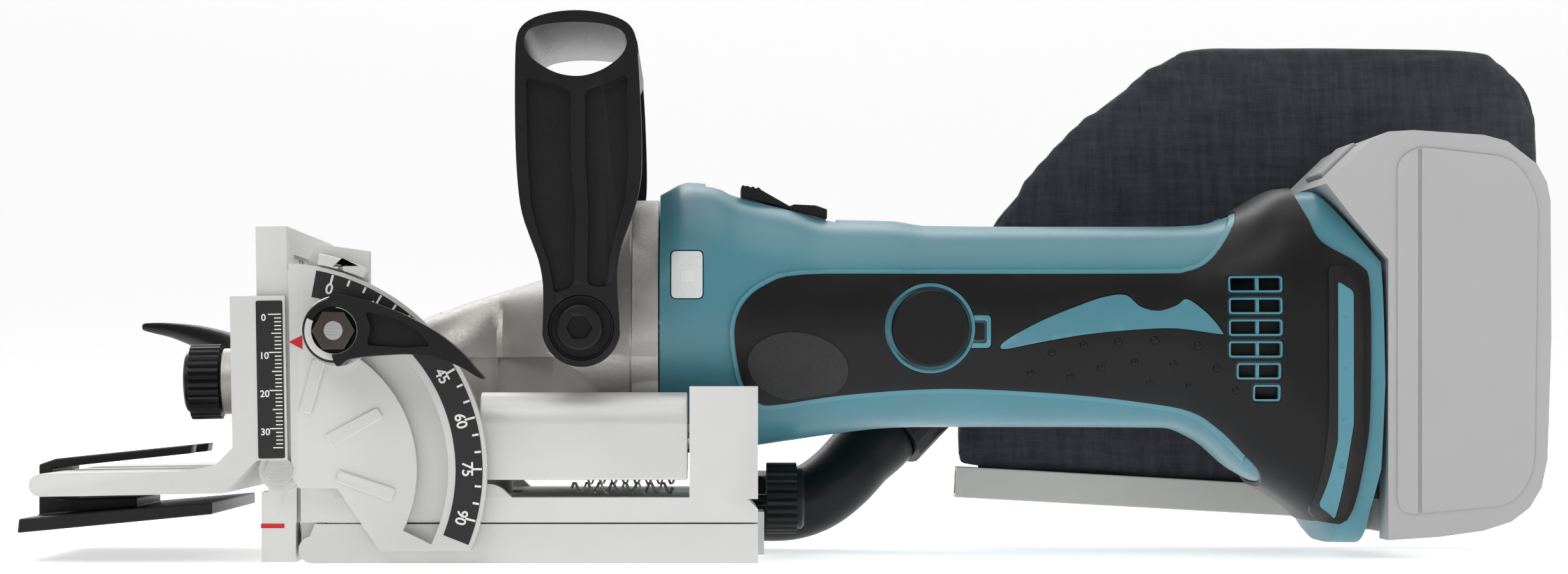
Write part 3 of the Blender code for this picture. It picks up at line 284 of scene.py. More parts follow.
def turned(axis, centre, profile, n=48):
    """A solid of revolution from (radius, position) pairs."""
    return make(*bridge([[place(axis, u, v, t) for u, v in ring(r, n, *centre)] for r, t in profile]))


def revolve(axis, centre, loop, n=48):
    """A ring from a closed section of (radius, position) pairs."""
    return make(*bridge([[place(axis, u, v, t) for u, v in ring(r, n, *centre)] for r, t in loop], True))


def sweep(path, radii, n=20, flat=1.0):
    """A bar along points; flat squeezes it sideways."""
    pts = [Vector(p) for p in path]
    side, rows = Vector((0.13, 0.97, 0.21)), []
    for k, p in enumerate(pts):
        run = (pts[min(k + 1, len(pts) - 1)] - pts[max(k - 1, 0)]).normalized()
        side = (side - run * side.dot(run)).normalized()
        other = run.cross(side)
        r = radii[k] if isinstance(radii, (list, tuple)) else radii
        rows.append([tuple(p + side * (u * flat) + other * v) for u, v in ring(r, n)])
    return make(*bridge(rows))


def curve_through(points, per=8, closed=False):
    """Catmull-Rom points through a list of vectors."""
    pts = [Vector(p) for p in points]
    n, out = len(pts), []
    for i in range(n if closed else n - 1):
        if closed:
            a, b, c, d = (pts[(i + k) % n] for k in (-1, 0, 1, 2))
        else:
            a, b, c, d = (pts[min(max(i + k, 0), n - 1)] for k in (-1, 0, 1, 2))
        for s in range(per):
            t = s / per
            out.append(0.5 * (2 * b + (c - a) * t + (2 * a - 5 * b + 4 * c - d) * t * t
                              + (3 * b - a - 3 * c + d) * t ** 3))
    if not closed:
        out.append(pts[-1])
    return [tuple(p) for p in out]


def rounded(points, radius, steps=5):
    """A polygon with its corners rounded."""
    out, n = [], len(points)
    for i in range(n):
        p, a, b = (Vector(points[(i + k) % n]) for k in (0, -1, 1))
        u, v = (a - p), (b - p)
        cut_back = min(radius, u.length * 0.48, v.length * 0.48)
        start, stop = p + u.normalized() * cut_back, p + v.normalized() * cut_back
        for s in range(steps + 1):
            t = s / steps
            out.append(tuple(start * (1 - t) ** 2 + p * 2 * t * (1 - t) + stop * t * t))
    return out


def bake(obj):
    """Applies the modifiers."""
    dg = bpy.context.evaluated_depsgraph_get()
    mesh = bpy.data.meshes.new_from_object(obj.evaluated_get(dg), depsgraph=dg)
    obj.modifiers.clear()
    obj.data = mesh
    return obj


def carve(obj, how, *tools):
    """Joins, cuts or intersects with tools, which are used up."""
    for tool in tools:
        mod = obj.modifiers.new("b", "BOOLEAN")
        mod.operation, mod.solver, mod.object = how, "EXACT", tool
    bake(obj)
    for tool in tools:
        bpy.data.objects.remove(tool)
    return obj


def cut(obj, *tools):
    return carve(obj, "DIFFERENCE", *tools)


def join(obj, *tools):
    return carve(obj, "UNION", *tools)


def turn(obj, angle, axis, about):
    """Turns an object about a point in millimetres."""
    pin = Vector(about) * MM
    obj.data.transform(Matrix.Translation(pin) @ Matrix.Rotation(angle, 4, axis) @ Matrix.Translation(-pin))
    return obj


def lean(obj):
    """Leans a solid drawn upright back about the guide's pins."""
    return turn(obj, -LEAN, "Y", (PIN_X, 0, PIN_Z))


def piece(obj, name, body, mat, width=0.0, steps=3, sharp=32, swaps=(), limit=28):
    """Rounds, shades, paints and mounts a finished piece."""
    obj.name = name
    if width:
        mod = obj.modifiers.new("bevel", "BEVEL")
        mod.width, mod.segments, mod.limit_method = width * MM, steps, "ANGLE"
        mod.angle_limit = math.radians(limit)
        mod.use_clamp_overlap = True
        mod.miter_outer = "MITER_ARC"
        bake(obj)
    mesh = obj.data
    mesh.name = name
    mesh.materials.clear()
    mesh.materials.append(mat)
    for face in mesh.polygons:
        face.use_smooth = True
    mesh.set_sharp_from_angle(angle=math.radians(sharp))
    normals = obj.modifiers.new("weighted", "WEIGHTED_NORMAL")
    normals.keep_sharp = True
    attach(obj, body)
    if swaps:
        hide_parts(*swaps)
    return obj


def repaint(name, mat, width=0.0, steps=2):
    """A CAD node kept as it is, welded, with rounded edges and a better material."""
    obj = NODES[name]
    obj.data.materials.clear()
    obj.data.materials.append(mat)
    weld = obj.modifiers.new("weld", "WELD")
    weld.merge_threshold = 0.00001
    flat = obj.modifiers.new("flat", "DECIMATE")
    flat.decimate_type, flat.angle_limit = "DISSOLVE", math.radians(0.5)
    if width:
        mod = obj.modifiers.new("bevel", "BEVEL")
        mod.width, mod.segments, mod.limit_method = width * MM, steps, "ANGLE"
        mod.angle_limit = math.radians(30)
        mod.use_clamp_overlap = True
    return obj


def merge(objs):
    """Several finished meshes as one object, without a Boolean."""
    bm = bmesh.new()
    for obj in objs:
        obj.data.transform(obj.matrix_world)
        bm.from_mesh(obj.data)
    mesh = bpy.data.meshes.new("merged")
    bm.to_mesh(mesh)
    bm.free()
    for obj in objs:
        bpy.data.objects.remove(obj)
    made = bpy.data.objects.new("merged", mesh)
    SCENE.collection.objects.link(made)
    return made


def letters(text, height, place_matrix, depth=0.06):
    """A number as a thin raised print, standing in the matrix's XY plane."""
    curve = bpy.data.curves.new("print", "FONT")
    curve.body, curve.size = text, height * MM
    curve.align_x, curve.align_y = "CENTER", "CENTER"
    curve.extrude, curve.resolution_u = depth * MM / 2, 4
    curve.offset = height * MM * 0.018
    holder = bpy.data.objects.new("print", curve)
    SCENE.collection.objects.link(holder)
    dg = bpy.context.evaluated_depsgraph_get()
    mesh = bpy.data.meshes.new_from_object(holder.evaluated_get(dg), depsgraph=dg)
    bpy.data.objects.remove(holder)
    mesh.transform(place_matrix)
    obj = bpy.data.objects.new("print", mesh)
    SCENE.collection.objects.link(obj)
    return obj


def side_matrix(x, y, z, angle=0.0):
    """A frame on a wall that faces -Y, turned clockwise by angle as seen from there."""
    stand = Matrix.Rotation(math.radians(90), 4, "X")
    return Matrix.Translation(Vector((x, y, z)) * MM) @ Matrix.Rotation(angle, 4, "Y") @ stand


# ================================================================ the housing's skin
HOUSING = [
    # x, bottom, top, half width, squareness
    (39.4, 30.6, 100.2, 36.4, 2.1), (47.0, 30.2, 103.8, 36.8, 2.1), (54.6, 30.0, 103.1, 37.0, 2.1),
    (61.4, 30.0, 99.8, 37.0, 2.1), (75.1, 31.6, 96.7, 36.6, 2.1), (85.1, 33.1, 93.5, 36.0, 2.15),
    (104.0, 35.2, 93.0, 34.6, 2.25), (113.0, 35.4, 91.7, 34.0, 2.3), (145.0, 35.4, 91.4, 32.0, 2.4),
    (179.8, 35.2, 91.4, 32.4, 2.5), (189.3, 31.6, 91.8, 33.6, 2.7), (198.9, 23.8, 94.6, 35.0, 3.0),
    (210.3, 17.4, 100.4, 36.0, 3.4), (218.8, 10.8, 100.8, 36.4, 3.8), (223.8, 3.6, 99.2, 36.4, 4.0),
    (236.0, 3.4, 92.0, 36.4, 4.0),
]


def section(x):
    """The housing's bottom, top, half width and squareness at x, smooth between its stations."""
    rows = HOUSING
    x = min(max(x, rows[0][0]), rows[-1][0])
    i = max(k for k in range(len(rows) - 1) if rows[k][0] <= x or k == 0)
    a, b = rows[i], rows[i + 1]
    h, t = b[0] - a[0], (x - a[0]) / (b[0] - a[0])
    out = []
    for c in range(1, 5):
        d = (b[c] - a[c]) / h
        before = (a[c] - rows[i - 1][c]) / (a[0] - rows[i - 1][0]) if i else d
        after = (rows[i + 2][c] - b[c]) / (rows[i + 2][0] - b[0]) if i + 2 < len(rows) else d
        m0 = 0.0 if before * d <= 0 else 2 * before * d / (before + d)
        m1 = 0.0 if after * d <= 0 else 2 * after * d / (after + d)
        t2, t3 = t * t, t ** 3
        out.append(a[c] * (2 * t3 - 3 * t2 + 1) + m0 * h * (t3 - 2 * t2 + t)
                   + b[c] * (3 * t2 - 2 * t3) + m1 * h * (t3 - t2))
    return out


def skin_y(x, z):
    """Half width of the housing at a place on its side."""
    zb, zt, hw, power = section(x)
    v = min(abs(z - (zb + zt) / 2) / ((zt - zb) / 2), 0.999)
    return hw * (1 - v ** power) ** (1 / power)


def skin(grow, x0=39.4, x1=236.0, step=2.4, n=96, top=None):
    """The housing's outer form grown outward, between two stations."""
    count = max(2, int((x1 - x0) / step))
    rows = []
    for k in range(count + 1):
        x = x0 + (x1 - x0) * k / count
        zb, zt, hw, power = section(x)
        zb, zt, hw = zb - grow, zt + grow, hw + grow
        zt = min(zt, top) if top else zt
        cz, hz = (zb + zt) / 2, (zt - zb) / 2
        row = []
        for i in range(n):
            a = 2 * math.pi * (i + 0.5) / n
            c, s = math.cos(a), math.sin(a)
            row.append((x, math.copysign(abs(c) ** (2 / power), c) * hw,
                        cz + math.copysign(abs(s) ** (2 / power), s) * hz))
        rows.append(row)
    obj = make(*bridge(rows))
    bm = bmesh.new()
    bm.from_mesh(obj.data)
    bmesh.ops.triangulate(bm, faces=[f for f in bm.faces if len(f.verts) == 4])
    bm.to_mesh(obj.data)
    bm.free()
    return obj


def inlay(outline, low, high, side, inner=14):
    """A plate with this side-view outline lying on the housing's skin, between two lifts.

    It reaches in to the distance inner from the middle plane, so a small one wraps over the top and bottom.
    """
    xs = [p[0] for p in outline]
    x0, x1 = max(min(xs) - 4, 30), min(max(xs) + 4, 240)
    body = skin(high, x0, x1, 1.6)
    cut(body, skin(low, x0 - 3, x1 + 3, 1.6))
    return carve(body, "INTERSECT", prism("Y", outline, *span(side, inner, 60)))


REAR_CUT = [(218.4, 110.0), (218.4, 101.0), (226.2, 91.0), (234.7, 80.4), (235.4, 47.7), (234.4, 24.4),
            (232.0, 13.3), (230.4, -10.0), (260.0, -10.0), (260.0, 110.0)]
SIDES = ((-1, "left"), (1, "right"))


def span(side, a, b):
    return (min(side * a, side * b), max(side * a, side * b))


VENTS = [(193.3, 207.5), (193.3, 207.5), (193.3, 207.5), (193.3, 207.5), (195.4, 207.1), (199.8, 207.0)]
VENT_TOP, VENT_PITCH, VENT_H = 76.6, 5.88, 4.4


def vent_box(k, side, grow):
    x0, x1 = VENTS[k]
    z1 = VENT_TOP - VENT_PITCH * k
    outline = rounded([(x0 - grow, z1 - VENT_H - grow), (x1 + grow, z1 - VENT_H - grow),
                       (x1 + grow, z1 + grow), (x0 - grow, z1 + grow)], 0.9 + grow, 4)
    return prism("Y", outline, *span(side, 24.0, 46.0))


def housing():
    """The two teal halves."""
    for side, word in SIDES:
        body = skin(0.0)
        cut(body, prism("Y", REAR_CUT, -60, 60))
        inner = skin(-2.4, 36.0, 231.0, 4.0, 64, top=90.0)
        cut(inner, prism("Y", [(x - 2.4, z) for x, z in REAR_CUT], -70, 70))
        cut(body, inner)
        carve(body, "INTERSECT", box(0, 260, *span(side, 0.15, 60.0), -20, 130))
        recess = [(52.0, 101.7), (88.6, 92.1), (88.6, 120.0), (52.0, 120.0)]
        cut(body, prism("Y", recess, -10.6, 10.6), box(61.4, 76.0, -4, 4, 86.0, 110.0))
        cut(body, disc("Y", (CAP_X, CAP_Z), 8.4, *span(side, 24.0, 44.0)))
        cut(body, box(226.0, 240.0, -12, 12, 20.0, 70.0))
        for k in range(6):
            cut(body, vent_box(k, side, 0.0))
        if side < 0:
            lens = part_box("lamp_lens")
            edge = 0.35
            low, high = Vector(lens[0]) / MM, Vector(lens[1]) / MM
            outline = rounded([(low.x - edge, low.z - edge), (high.x + edge, low.z - edge),
                               (high.x + edge, high.z + edge), (low.x - edge, high.z + edge)], 1.6, 4)
            pocket = prism("Y", outline, -60, -25)
            cut(pocket, skin(-1.5, 36.0, 60.0, 1.6))
            cut(body, pocket)
        piece(body, "housing_" + word, "carriage", TEAL, sharp=30, swaps=("motor_housing_" + word,))


PANEL = [(59.7, 63.0), (60.2, 55.0), (62.2, 47.0), (66.2, 42.2), (72.0, 41.8), (90.0, 44.4), (118.0, 46.1),
         (150.0, 44.6), (172.0, 42.2), (184.1, 39.9), (191.6, 35.2), (198.2, 28.7), (203.4, 23.2), (205.6, 17.0),
         (206.0, 6.0), (208.0, -3.0), (216.6, -3.0), (217.8, 9.2), (225.9, 10.5), (229.7, 27.2), (231.1, 41.4),
         (231.1, 73.0), (228.6, 79.6), (218.4, 85.8), (215.2, 92.1), (212.9, 98.5), (212.4, 107.0), (201.0, 107.0),
         (198.6, 96.0), (194.6, 88.4), (188.8, 81.0), (182.2, 77.9), (172.0, 77.4), (110.0, 77.3), (78.0, 77.0),
         (68.0, 74.2), (62.2, 69.4)]
LEAF = [(132.3, 56.5), (132.6, 58.8), (142.5, 64.5), (153.1, 69.0), (160.0, 71.4), (165.8, 71.9), (169.8, 68.6),
        (174.8, 67.4), (179.8, 69.0), (182.7, 70.7), (188.1, 66.5), (191.9, 61.5), (191.0, 60.8), (179.8, 62.4),
        (168.0, 62.0), (154.8, 60.7), (142.0, 58.4)]
BUMPS = [(140.1, 50.5), (145.7, 56.0), (151.0, 49.6), (154.4, 57.8), (159.1, 52.0), (163.7, 58.8), (168.2, 53.3),
         (173.5, 59.2), (172.5, 47.9), (178.8, 52.8), (185.2, 57.7), (183.3, 47.0), (190.2, 51.7), (195.4, 45.7)]


def spline2(points, per=5, closed=True):
    """A smooth side-view outline through flat points."""
    return [(p[0], p[1]) for p in curve_through([(x, z, 0) for x, z in points], per, closed)]


def grown(outline, by):
    """A closed outline moved outward along its normals."""
    n, out = len(outline), []
    area = sum(outline[i - 1][0] * outline[i][1] - outline[i][0] * outline[i - 1][1] for i in range(n))
    by = math.copysign(by, by * area)
    for i in range(n):
        run = (Vector(outline[(i + 1) % n]) - Vector(outline[i - 1])).normalized()
        out.append(tuple(Vector(outline[i]) + Vector((run.y, -run.x)) * by))
    return out


def panels():
    """The soft black panels with what is set into them."""
    for side, word in SIDES:
        outline = spline2(PANEL, 4)
        panel = skin(1.3, 52.0, 236.0)
        cut(panel, skin(0.35, 48.0, 240.0))
        carve(panel, "INTERSECT", prism("Y", outline, *span(side, 0.15, 60.0)))
        cut(panel, prism("Y", REAR_CUT, -60, 60))
        lip = inlay(grown(outline, 1.2), 0.1, 0.95, side, 0.15)
        cut(lip, prism("Y", outline, -60, 60), box(199.0, 260.0, -60, 60, -20, 120), box(40, 250, -13, 13, -20, 120))
        piece(lip, "panel_lip_" + word, "carriage", TEAL, 0.2, 2)
        cut(panel, disc("Y", (CAP_X, CAP_Z), 12.35, *span(side, 20.0, 46.0), n=72))
        notch = rounded([(122.0, 56.9), (129.4, 56.9), (129.4, 66.3), (122.0, 66.3)], 1.4)
        cut(panel, prism("Y", notch, *span(side, 20.0, 46.0)))
        for k in range(6):
            cut(panel, vent_box(k, side, 0.45))
        groove = inlay(spline2(LEAF, 4), 0.9, 3.0, side)
        cut(panel, groove)
        piece(panel, "grip_panel_" + word, "carriage", GRIP, 0.35, 2, swaps=("grip_" + word,))
        leaf = inlay([(x, z) for x, z in spline2([(160 + (x - 160) * 0.985, 64 + (z - 64) * 0.95)
                                                  for x, z in LEAF], 4)], 0.95, 1.45, side)
        piece(leaf, "leaf_inlay_" + word, "carriage", TEAL, 0.2, 2)
        oval, tilt = [], math.radians(-8)
        c, s = math.cos(tilt), math.sin(tilt)
        for u, v in ((13.7 * math.cos(a), 9.3 * math.sin(a)) for a in (math.pi * i / 32 for i in range(64))):
            oval.append((76.8 + u * c - v * s, 52 + u * s + v * c))
        pad = inlay(oval, 1.25, 1.8, side)
        carve(pad, "INTERSECT", prism("Y", grown(outline, -0.8), -60, 60))
        piece(pad, "oval_pad_" + word, "carriage", PAD, 0.4, 3)
        bars = []
        for x, z in BUMPS:
            y = side * (skin_y(x, z) + 1.1)
            bump = turned("Y", (x, z), [(1.1, y - side * 0.4), (1.1, y + side * 0.25), (0.95, y + side * 0.6),
                                        (0.55, y + side * 0.85), (0.1, y + side * 0.95)], 16)
            bars.append(bump)
        piece(merge(bars), "grip_bumps_" + word, "carriage", GRIP)
        frame_bits(side, word)
        vents(side, word)
        brush_cap(side, word)


def frame_bits(side, word):
    """The black frame strip at the rear with its teal filler and dimples."""
    strip = rounded([(219.8, 79.5), (219.8, 36.7), (218.9, 27.2), (216.6, 13.2), (218.4, 10.8), (225.0, 11.6),
                     (229.2, 27.0), (229.2, 75.0), (226.0, 79.2)], 1.8)
    inner = [(222.2, 75.3), (222.2, 32.0), (220.3, 22.5), (218.4, 14.4), (222.6, 10.6), (224.5, 22.5),
             (226.7, 36.7), (226.7, 72.4)]
    ring_strip = inlay(strip, 1.35, 1.95, side)
    cut(ring_strip, prism("Y", rounded(inner, 1.2), -60, 60))
    piece(ring_strip, "rear_frame_" + word, "carriage", BLACK, 0.2, 2)
    filler = inlay(rounded(grown(inner, -0.12), 1.1), 1.35, 1.8, side)
    for x, z in ((224.4, 65.8), (224.2, 52.0), (223.8, 38.4), (223.4, 25.2)):
        y = side * (skin_y(x, z) + 2.3)
        cut(filler, turned("Y", (x, z), [(0.1, y - side * 0.85), (0.75, y - side * 0.6), (1.0, y)], 20))
    piece(filler, "rear_filler_" + word, "carriage", TEAL, 0.12, 2)


def vents(side, word):
    """Teal rims with a bar across the middle of each vent, over a dark sheet that is painted shade inside the vents.
    """
    rims = []
    for k in range(6):
        x0, x1 = VENTS[k]
        mid, z1 = (193.3 + 207.5) / 2 + 0.5, VENT_TOP - VENT_PITCH * k
        outline = rounded([(x0, z1 - VENT_H), (x1, z1 - VENT_H), (x1, z1), (x0, z1)], 0.9, 4)
        inside = rounded([(x0 + 0.5, z1 - VENT_H + 0.5), (x1 - 0.5, z1 - VENT_H + 0.5), (x1 - 0.5, z1 - 0.5),
                          (x0 + 0.5, z1 - 0.5)], 0.5, 4)
        rim = inlay(outline, -1.6, 1.15, side)
        cut(rim, prism("Y", inside, -60, 60))
        if k < 5:
            bar = inlay([(mid - 0.45, z1 - VENT_H + 0.3), (mid + 0.45, z1 - VENT_H + 0.3), (mid + 0.45, z1 - 0.3),
                         (mid - 0.45, z1 - 0.3)], -1.6, 0.7, side)
            rims += [bar]
        rims.append(rim)
    piece(merge(rims), "vent_rims_" + word, "carriage", TEAL)
    # A thin black sheet just inside the skin: painted shade for the dark inside behind the vents.
    shade_sheet = inlay([(191.0, 40.0), (210.0, 40.0), (210.0, 79.0), (191.0, 79.0)], -5.0, -4.2, side)
    piece(shade_sheet, "vent_shade_sheet_" + word, "carriage", BLACK)


def brush_cap(side, word):
    """The round screw cap in its teal ring, with the notch beside it."""
    y = side * skin_y(CAP_X, CAP_Z)
    lip = revolve("Y", (CAP_X, CAP_Z), [(11.2, y - side * 0.5), (12.2, y - side * 0.5), (12.2, y + side * 0.45),
                                        (11.2, y + side * 0.45)], 72)
    piece(lip, "cap_ring_" + word, "carriage", TEAL, 0.25, 2)
    cap = turned("Y", (CAP_X, CAP_Z), [(7.9, y - side * 3.4), (7.9, y + side * 0.9), (10.5, y + side * 0.9),
                                       (10.5, y + side * 1.9), (9.9, y + side * 2.5)], 72)
    piece(cap, "brush_screw_" + word, "carriage", GRIP, 0.3, 3, swaps=("brush_cap_" + word,))
    outline = rounded([(122.4, 57.2), (129.1, 57.2), (129.1, 66.0), (122.4, 66.0)], 1.2)
    rim = inlay(outline, 0.4, 1.2, side)
    inside = rounded([(121.0, 58.5), (128.0, 58.5), (128.0, 64.7), (121.0, 64.7)], 0.8)
    cut(rim, prism("Y", inside, -60, 60), disc("Y", (CAP_X, CAP_Z), 12.3, -60, 60, 72))
    piece(rim, "notch_rim_" + word, "carriage", TEAL, 0.15, 2)
    key = inlay(rounded([(124.6, 59.3), (127.4, 59.3), (127.4, 63.9), (124.6, 63.9)], 0.6), 0.4, 1.0, side)
    piece(key, "notch_key_" + word, "carriage", GRIP, 0.15, 2)


def lamp():
    """The frosted lamp window with its smaller bright element."""
    low, high = (Vector(c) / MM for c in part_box("lamp_lens"))
    body = inlay(rounded([(low.x, low.z), (high.x, low.z), (high.x, high.z), (low.x, high.z)], 1.3), -1.2, 0.3, -1)
    piece(body, "lamp_window", "carriage", LENS, 0.3, 3, swaps=("lamp_lens",))
    mid_x, mid_z = (low.x + high.x) / 2, (low.z + high.z) / 2 - 0.4
    chip = inlay([(mid_x - 1.7, mid_z - 1.5), (mid_x + 1.7, mid_z - 1.5), (mid_x + 1.7, mid_z + 1.5),
                  (mid_x - 1.7, mid_z + 1.5)], 0.3, 0.42, -1)
    piece(chip, "lamp_chip", "carriage", WHITE, 0.1, 2)


# ================================================================ gear case
GEAR_TOP = [(-34.4, 59.0), (-32.5, 62.2), (-26.0, 66.0), (-15.7, 69.8), (-7.0, 72.6), (1.0, 75.0), (8.0, 77.2),
            (16.0, 81.0), (24.0, 87.5), (29.0, 94.5), (31.6, 98.0), (39.0, 98.6)]
GEAR_WIDE = [(-4.7, 17.1), (8.0, 33.0), (30.0, 36.4), (39.0, 36.6)]
BLADE_X, MOTOR_Z, ROD_Y, ROD_Z = -14.6, 62.5, 47.0, 33.0


def between(table, x):
    """Straight-line reading of a table of (x, value)."""
    for (x0, v0), (x1, v1) in zip(table, table[1:]):
        if x <= x1:
            return v0 + (v1 - v0) * max(0.0, x - x0) / (x1 - x0)
    return table[-1][1]


def gear_case():
    """The cast case of the bevel gears, swelling back to the motor, and the two slide boxes."""
    rows = []
    for k in range(47):
        x = -34.35 + (39.0 + 34.35) * k / 46
        if x < -4.7:
            wide = max(2.0, math.sqrt(max(0.0, 19.8 ** 2 - (x - BLADE_X) ** 2)))
        else:
            wide = between(GEAR_WIDE, x)
        tall = between(GEAR_TOP, x) - 55.0
        row = []
        for i in range(72):
            a = 2 * math.pi * i / 72
            c, t = math.cos(a), math.sin(a)
            row.append((x, wide * math.copysign(abs(c) ** 0.86, c), 55.0 + tall * math.copysign(abs(t) ** 0.86, t)))
        rows.append(row)
    body = make(*bridge(rows))
    cut(body, box(-60, 60, -60, 60, -60, 54.8))
    plan = arc(BLADE_X, 0, 18.6, 60, 300, 28) + [(10.0, -27.0), (30.0, -33.0), (39.0, -34.0), (39.0, 34.0),
                                               (30.0, 33.0), (10.0, 27.0)]
    flare = prism("Y", [(8.6, 56.0), (12.0, 54.2), (18.0, 50.6), (22.6, 46.6), (25.6, 40.0), (26.4, 30.6),
                        (39.0, 30.4), (39.0, 56.0)], -36.2, 36.2)
    carve(flare, "INTERSECT", disc("X", (0, MOTOR_Z), 36.9, 0, 60, 96))
    flange = disc("X", (0, MOTOR_Z - 0.3), 36.6, 32.0, 39.0, 96)
    cut(flange, box(0, 60, -60, 60, 0, 30.4))
    join(body, prism("Z", plan, 30.6, 56.0), flare, flange)
    cut(body, revolve("X", (0, MOTOR_Z - 0.3), [(36.2, 31.2), (40.0, 31.2), (40.0, 31.8), (36.2, 31.8)], 96))
    join(body, prism("Z", arc(BLADE_X, 0, 18.6, 0, 360, 48)[:-1], 24.0, 31.0),
         disc("Z", (BLADE_X, 0), 12.6, 14.2, 30.0))
    for side in (-1, 1):
        join(body, box(-4.0, 34.0, *span(side, 20.0, 40.0), 27.0, 40.0))
        join(body, disc("Y", (HANDLE_X, HANDLE_Z), 8.2, *span(side, 30.0, 49.6)))
    cut(body, box(-60, -28, -60, 60, -60, 46.0))
    edge = body.modifiers.new("bevel", "BEVEL")
    edge.width, edge.segments, edge.limit_method, edge.use_clamp_overlap = 0.6 * MM, 2, "ANGLE", True
    bake(body)
    axis = (0, MOTOR_Z)
    cut(body, disc("Z", (BLADE_X, 0), 17.2, 50.6, 60.0), turned("X", axis, [(7.6, -22.0), (7.6, 4.0)]),
        disc("X", axis, 6.9, 3.0, 16.0), disc("X", axis, 22.0, 15.8, 50.0), disc("Z", (BLADE_X, 0), 5.6, 10.0, 55.0),
        disc("Z", (BLADE_X, 0), 10.4, 24.0, 33.0), disc("Z", (BLADE_X, 0), 9.0, 10.0, 24.2),
        disc("Z", (14.0, 0), 6.4, 73.6, 110.0))
    for side in (-1, 1):
        cut(body, disc("Y", (HANDLE_X, HANDLE_Z), 2.9, *span(side, 38.0, 60.0), n=24))
    piece(body, "gear_case", "carriage", CAST, sharp=34, swaps=("gear_housing",))
    boxes = []
    for side in (-1, 1):
        y0, y1 = side * 39.0, side * 56.4
        top = arc(side * 47.7, 36.6, 8.6, 0 if side > 0 else 180, 180 if side > 0 else 0, 24)
        slide = prism("X", [(y0, 22.0), (y1, 22.0)] + top, -8.0, 47.0)
        cut(slide, disc("X", (side * ROD_Y, ROD_Z), 4.35, -20.0, 60.0, 32))
        if side > 0:
            cut(slide, disc("X", (44.0, 41.0), 1.9, -10.0, 4.0, 24))
        boxes.append(slide)
    piece(merge(boxes), "slide_boxes", "carriage", SATIN, 0.8, 3)


# ================================================================ front handle
def handle():
    """The black U-shaped handle: recessed arms, round bosses and a hollow cross grip."""
    hx, hz = HANDLE_X, HANDLE_Z
    rim = [(28.8, 66.0), (28.4, 72.0), (28.4, 78.5), (29.6, 84.5), (32.0, 91.0), (33.9, 97.5), (34.8, 104.0),
           (34.8, 114.0), (34.3, 127.0), (33.7, 136.0), (33.0, 140.2), (31.0, 143.0), (27.0, 144.9), (22.0, 146.0),
           (17.0, 146.3), (11.5, 145.8), (6.5, 144.4), (3.2, 142.2), (1.8, 139.2), (1.4, 134.0), (1.3, 122.0),
           (1.5, 110.0), (2.1, 100.0), (3.2, 92.5), (5.4, 86.0), (7.6, 80.0), (8.7, 74.0), (8.8, 67.0)]
    boss = arc(hx, hz, 10.4, 190, 350, 30)
    shape = boss + spline2(rim, 3, False)
    left = [(4.2, 128.6), (9.5, 127.4), (16.0, 125.0), (16.1, 106.8), (17.3, 94.0), (16.9, 73.4), (11.7, 71.2),
            (10.4, 79.0), (7.6, 87.0), (5.6, 94.5), (4.7, 106.8)]
    right = [(19.9, 125.0), (25.5, 126.8), (31.0, 129.4), (31.4, 106.8), (30.4, 95.5), (28.2, 88.0), (26.4, 81.5),
             (25.6, 72.9), (20.4, 73.6), (20.8, 94.0), (19.9, 106.8)]
    eye = [(3.7, 138.0), (5.2, 141.2), (10.0, 142.7), (16.9, 143.2), (24.5, 142.7), (29.4, 141.0), (30.9, 138.0),
           (29.6, 134.6), (25.8, 131.4), (21.5, 129.5), (17.4, 128.9), (12.8, 129.6), (8.4, 131.7), (4.9, 134.6)]
    arm_in, arms = 50.0, []
    for side, word in SIDES:
        arm = prism("Y", shape, *span(side, arm_in, ARM_Y))
        for pocket in (left, right):
            cut(arm, prism("Y", rounded(pocket, 1.6), *span(side, ARM_Y - 2.6, 70)))
        cut(arm, disc("Y", (hx, hz), 8.75, *span(side, ARM_Y - 2.4, 70), n=64),
            disc("Y", (hx, hz), 3.2, *span(side, 40, 70)))
        arms.append(arm)
    loop = []
    for i in range(64):
        a = 2 * math.pi * i / 64
        c, s = math.cos(a), math.sin(a)
        loop.append((17.7 + 16.2 * math.copysign(abs(c) ** 0.8, c), 136.0 + 9.6 * math.copysign(abs(s) ** 0.9, s)))
    body = join(arms[0], arms[1], prism("Y", loop, -arm_in - 3, arm_in + 3))
    cut(body, prism("Y", spline2(eye, 4), -70, 70))
    piece(body, "u_handle", "handle", BLACK, 0.6, 4, swaps=("front_handle",), limit=32)
    for side, word in SIDES:
        y = side * ARM_Y
        head = turned("Y", (hx - 0.4, hz), [(6.2, y - side * 2.0), (6.2, y + side * 1.4), (5.6, y + side * 2.0)], 48)
        join(head, disc("Y", (hx - 0.4, hz), 2.6, *span(side, 39.0, ARM_Y - 1.5), n=24))
        cut(head, disc("Y", (hx - 0.4, hz), 3.4, *span(side, ARM_Y - 1.0, ARM_Y + 4), n=6))
        piece(head, "socket_screw_" + word, "handle", BLACK, 0.25, 3, swaps=("handle_screw_" + word,))
        lip = revolve("Y", (hx, hz), [(8.0, y - side * 2.3), (8.7, y - side * 2.3), (8.7, y - side * 1.2),
                                      (8.0, y - side * 1.2)], 64)
        piece(lip, "boss_washer_" + word, "handle", BLACK, 0.2, 2)


# ================================================================ base, guide and fence



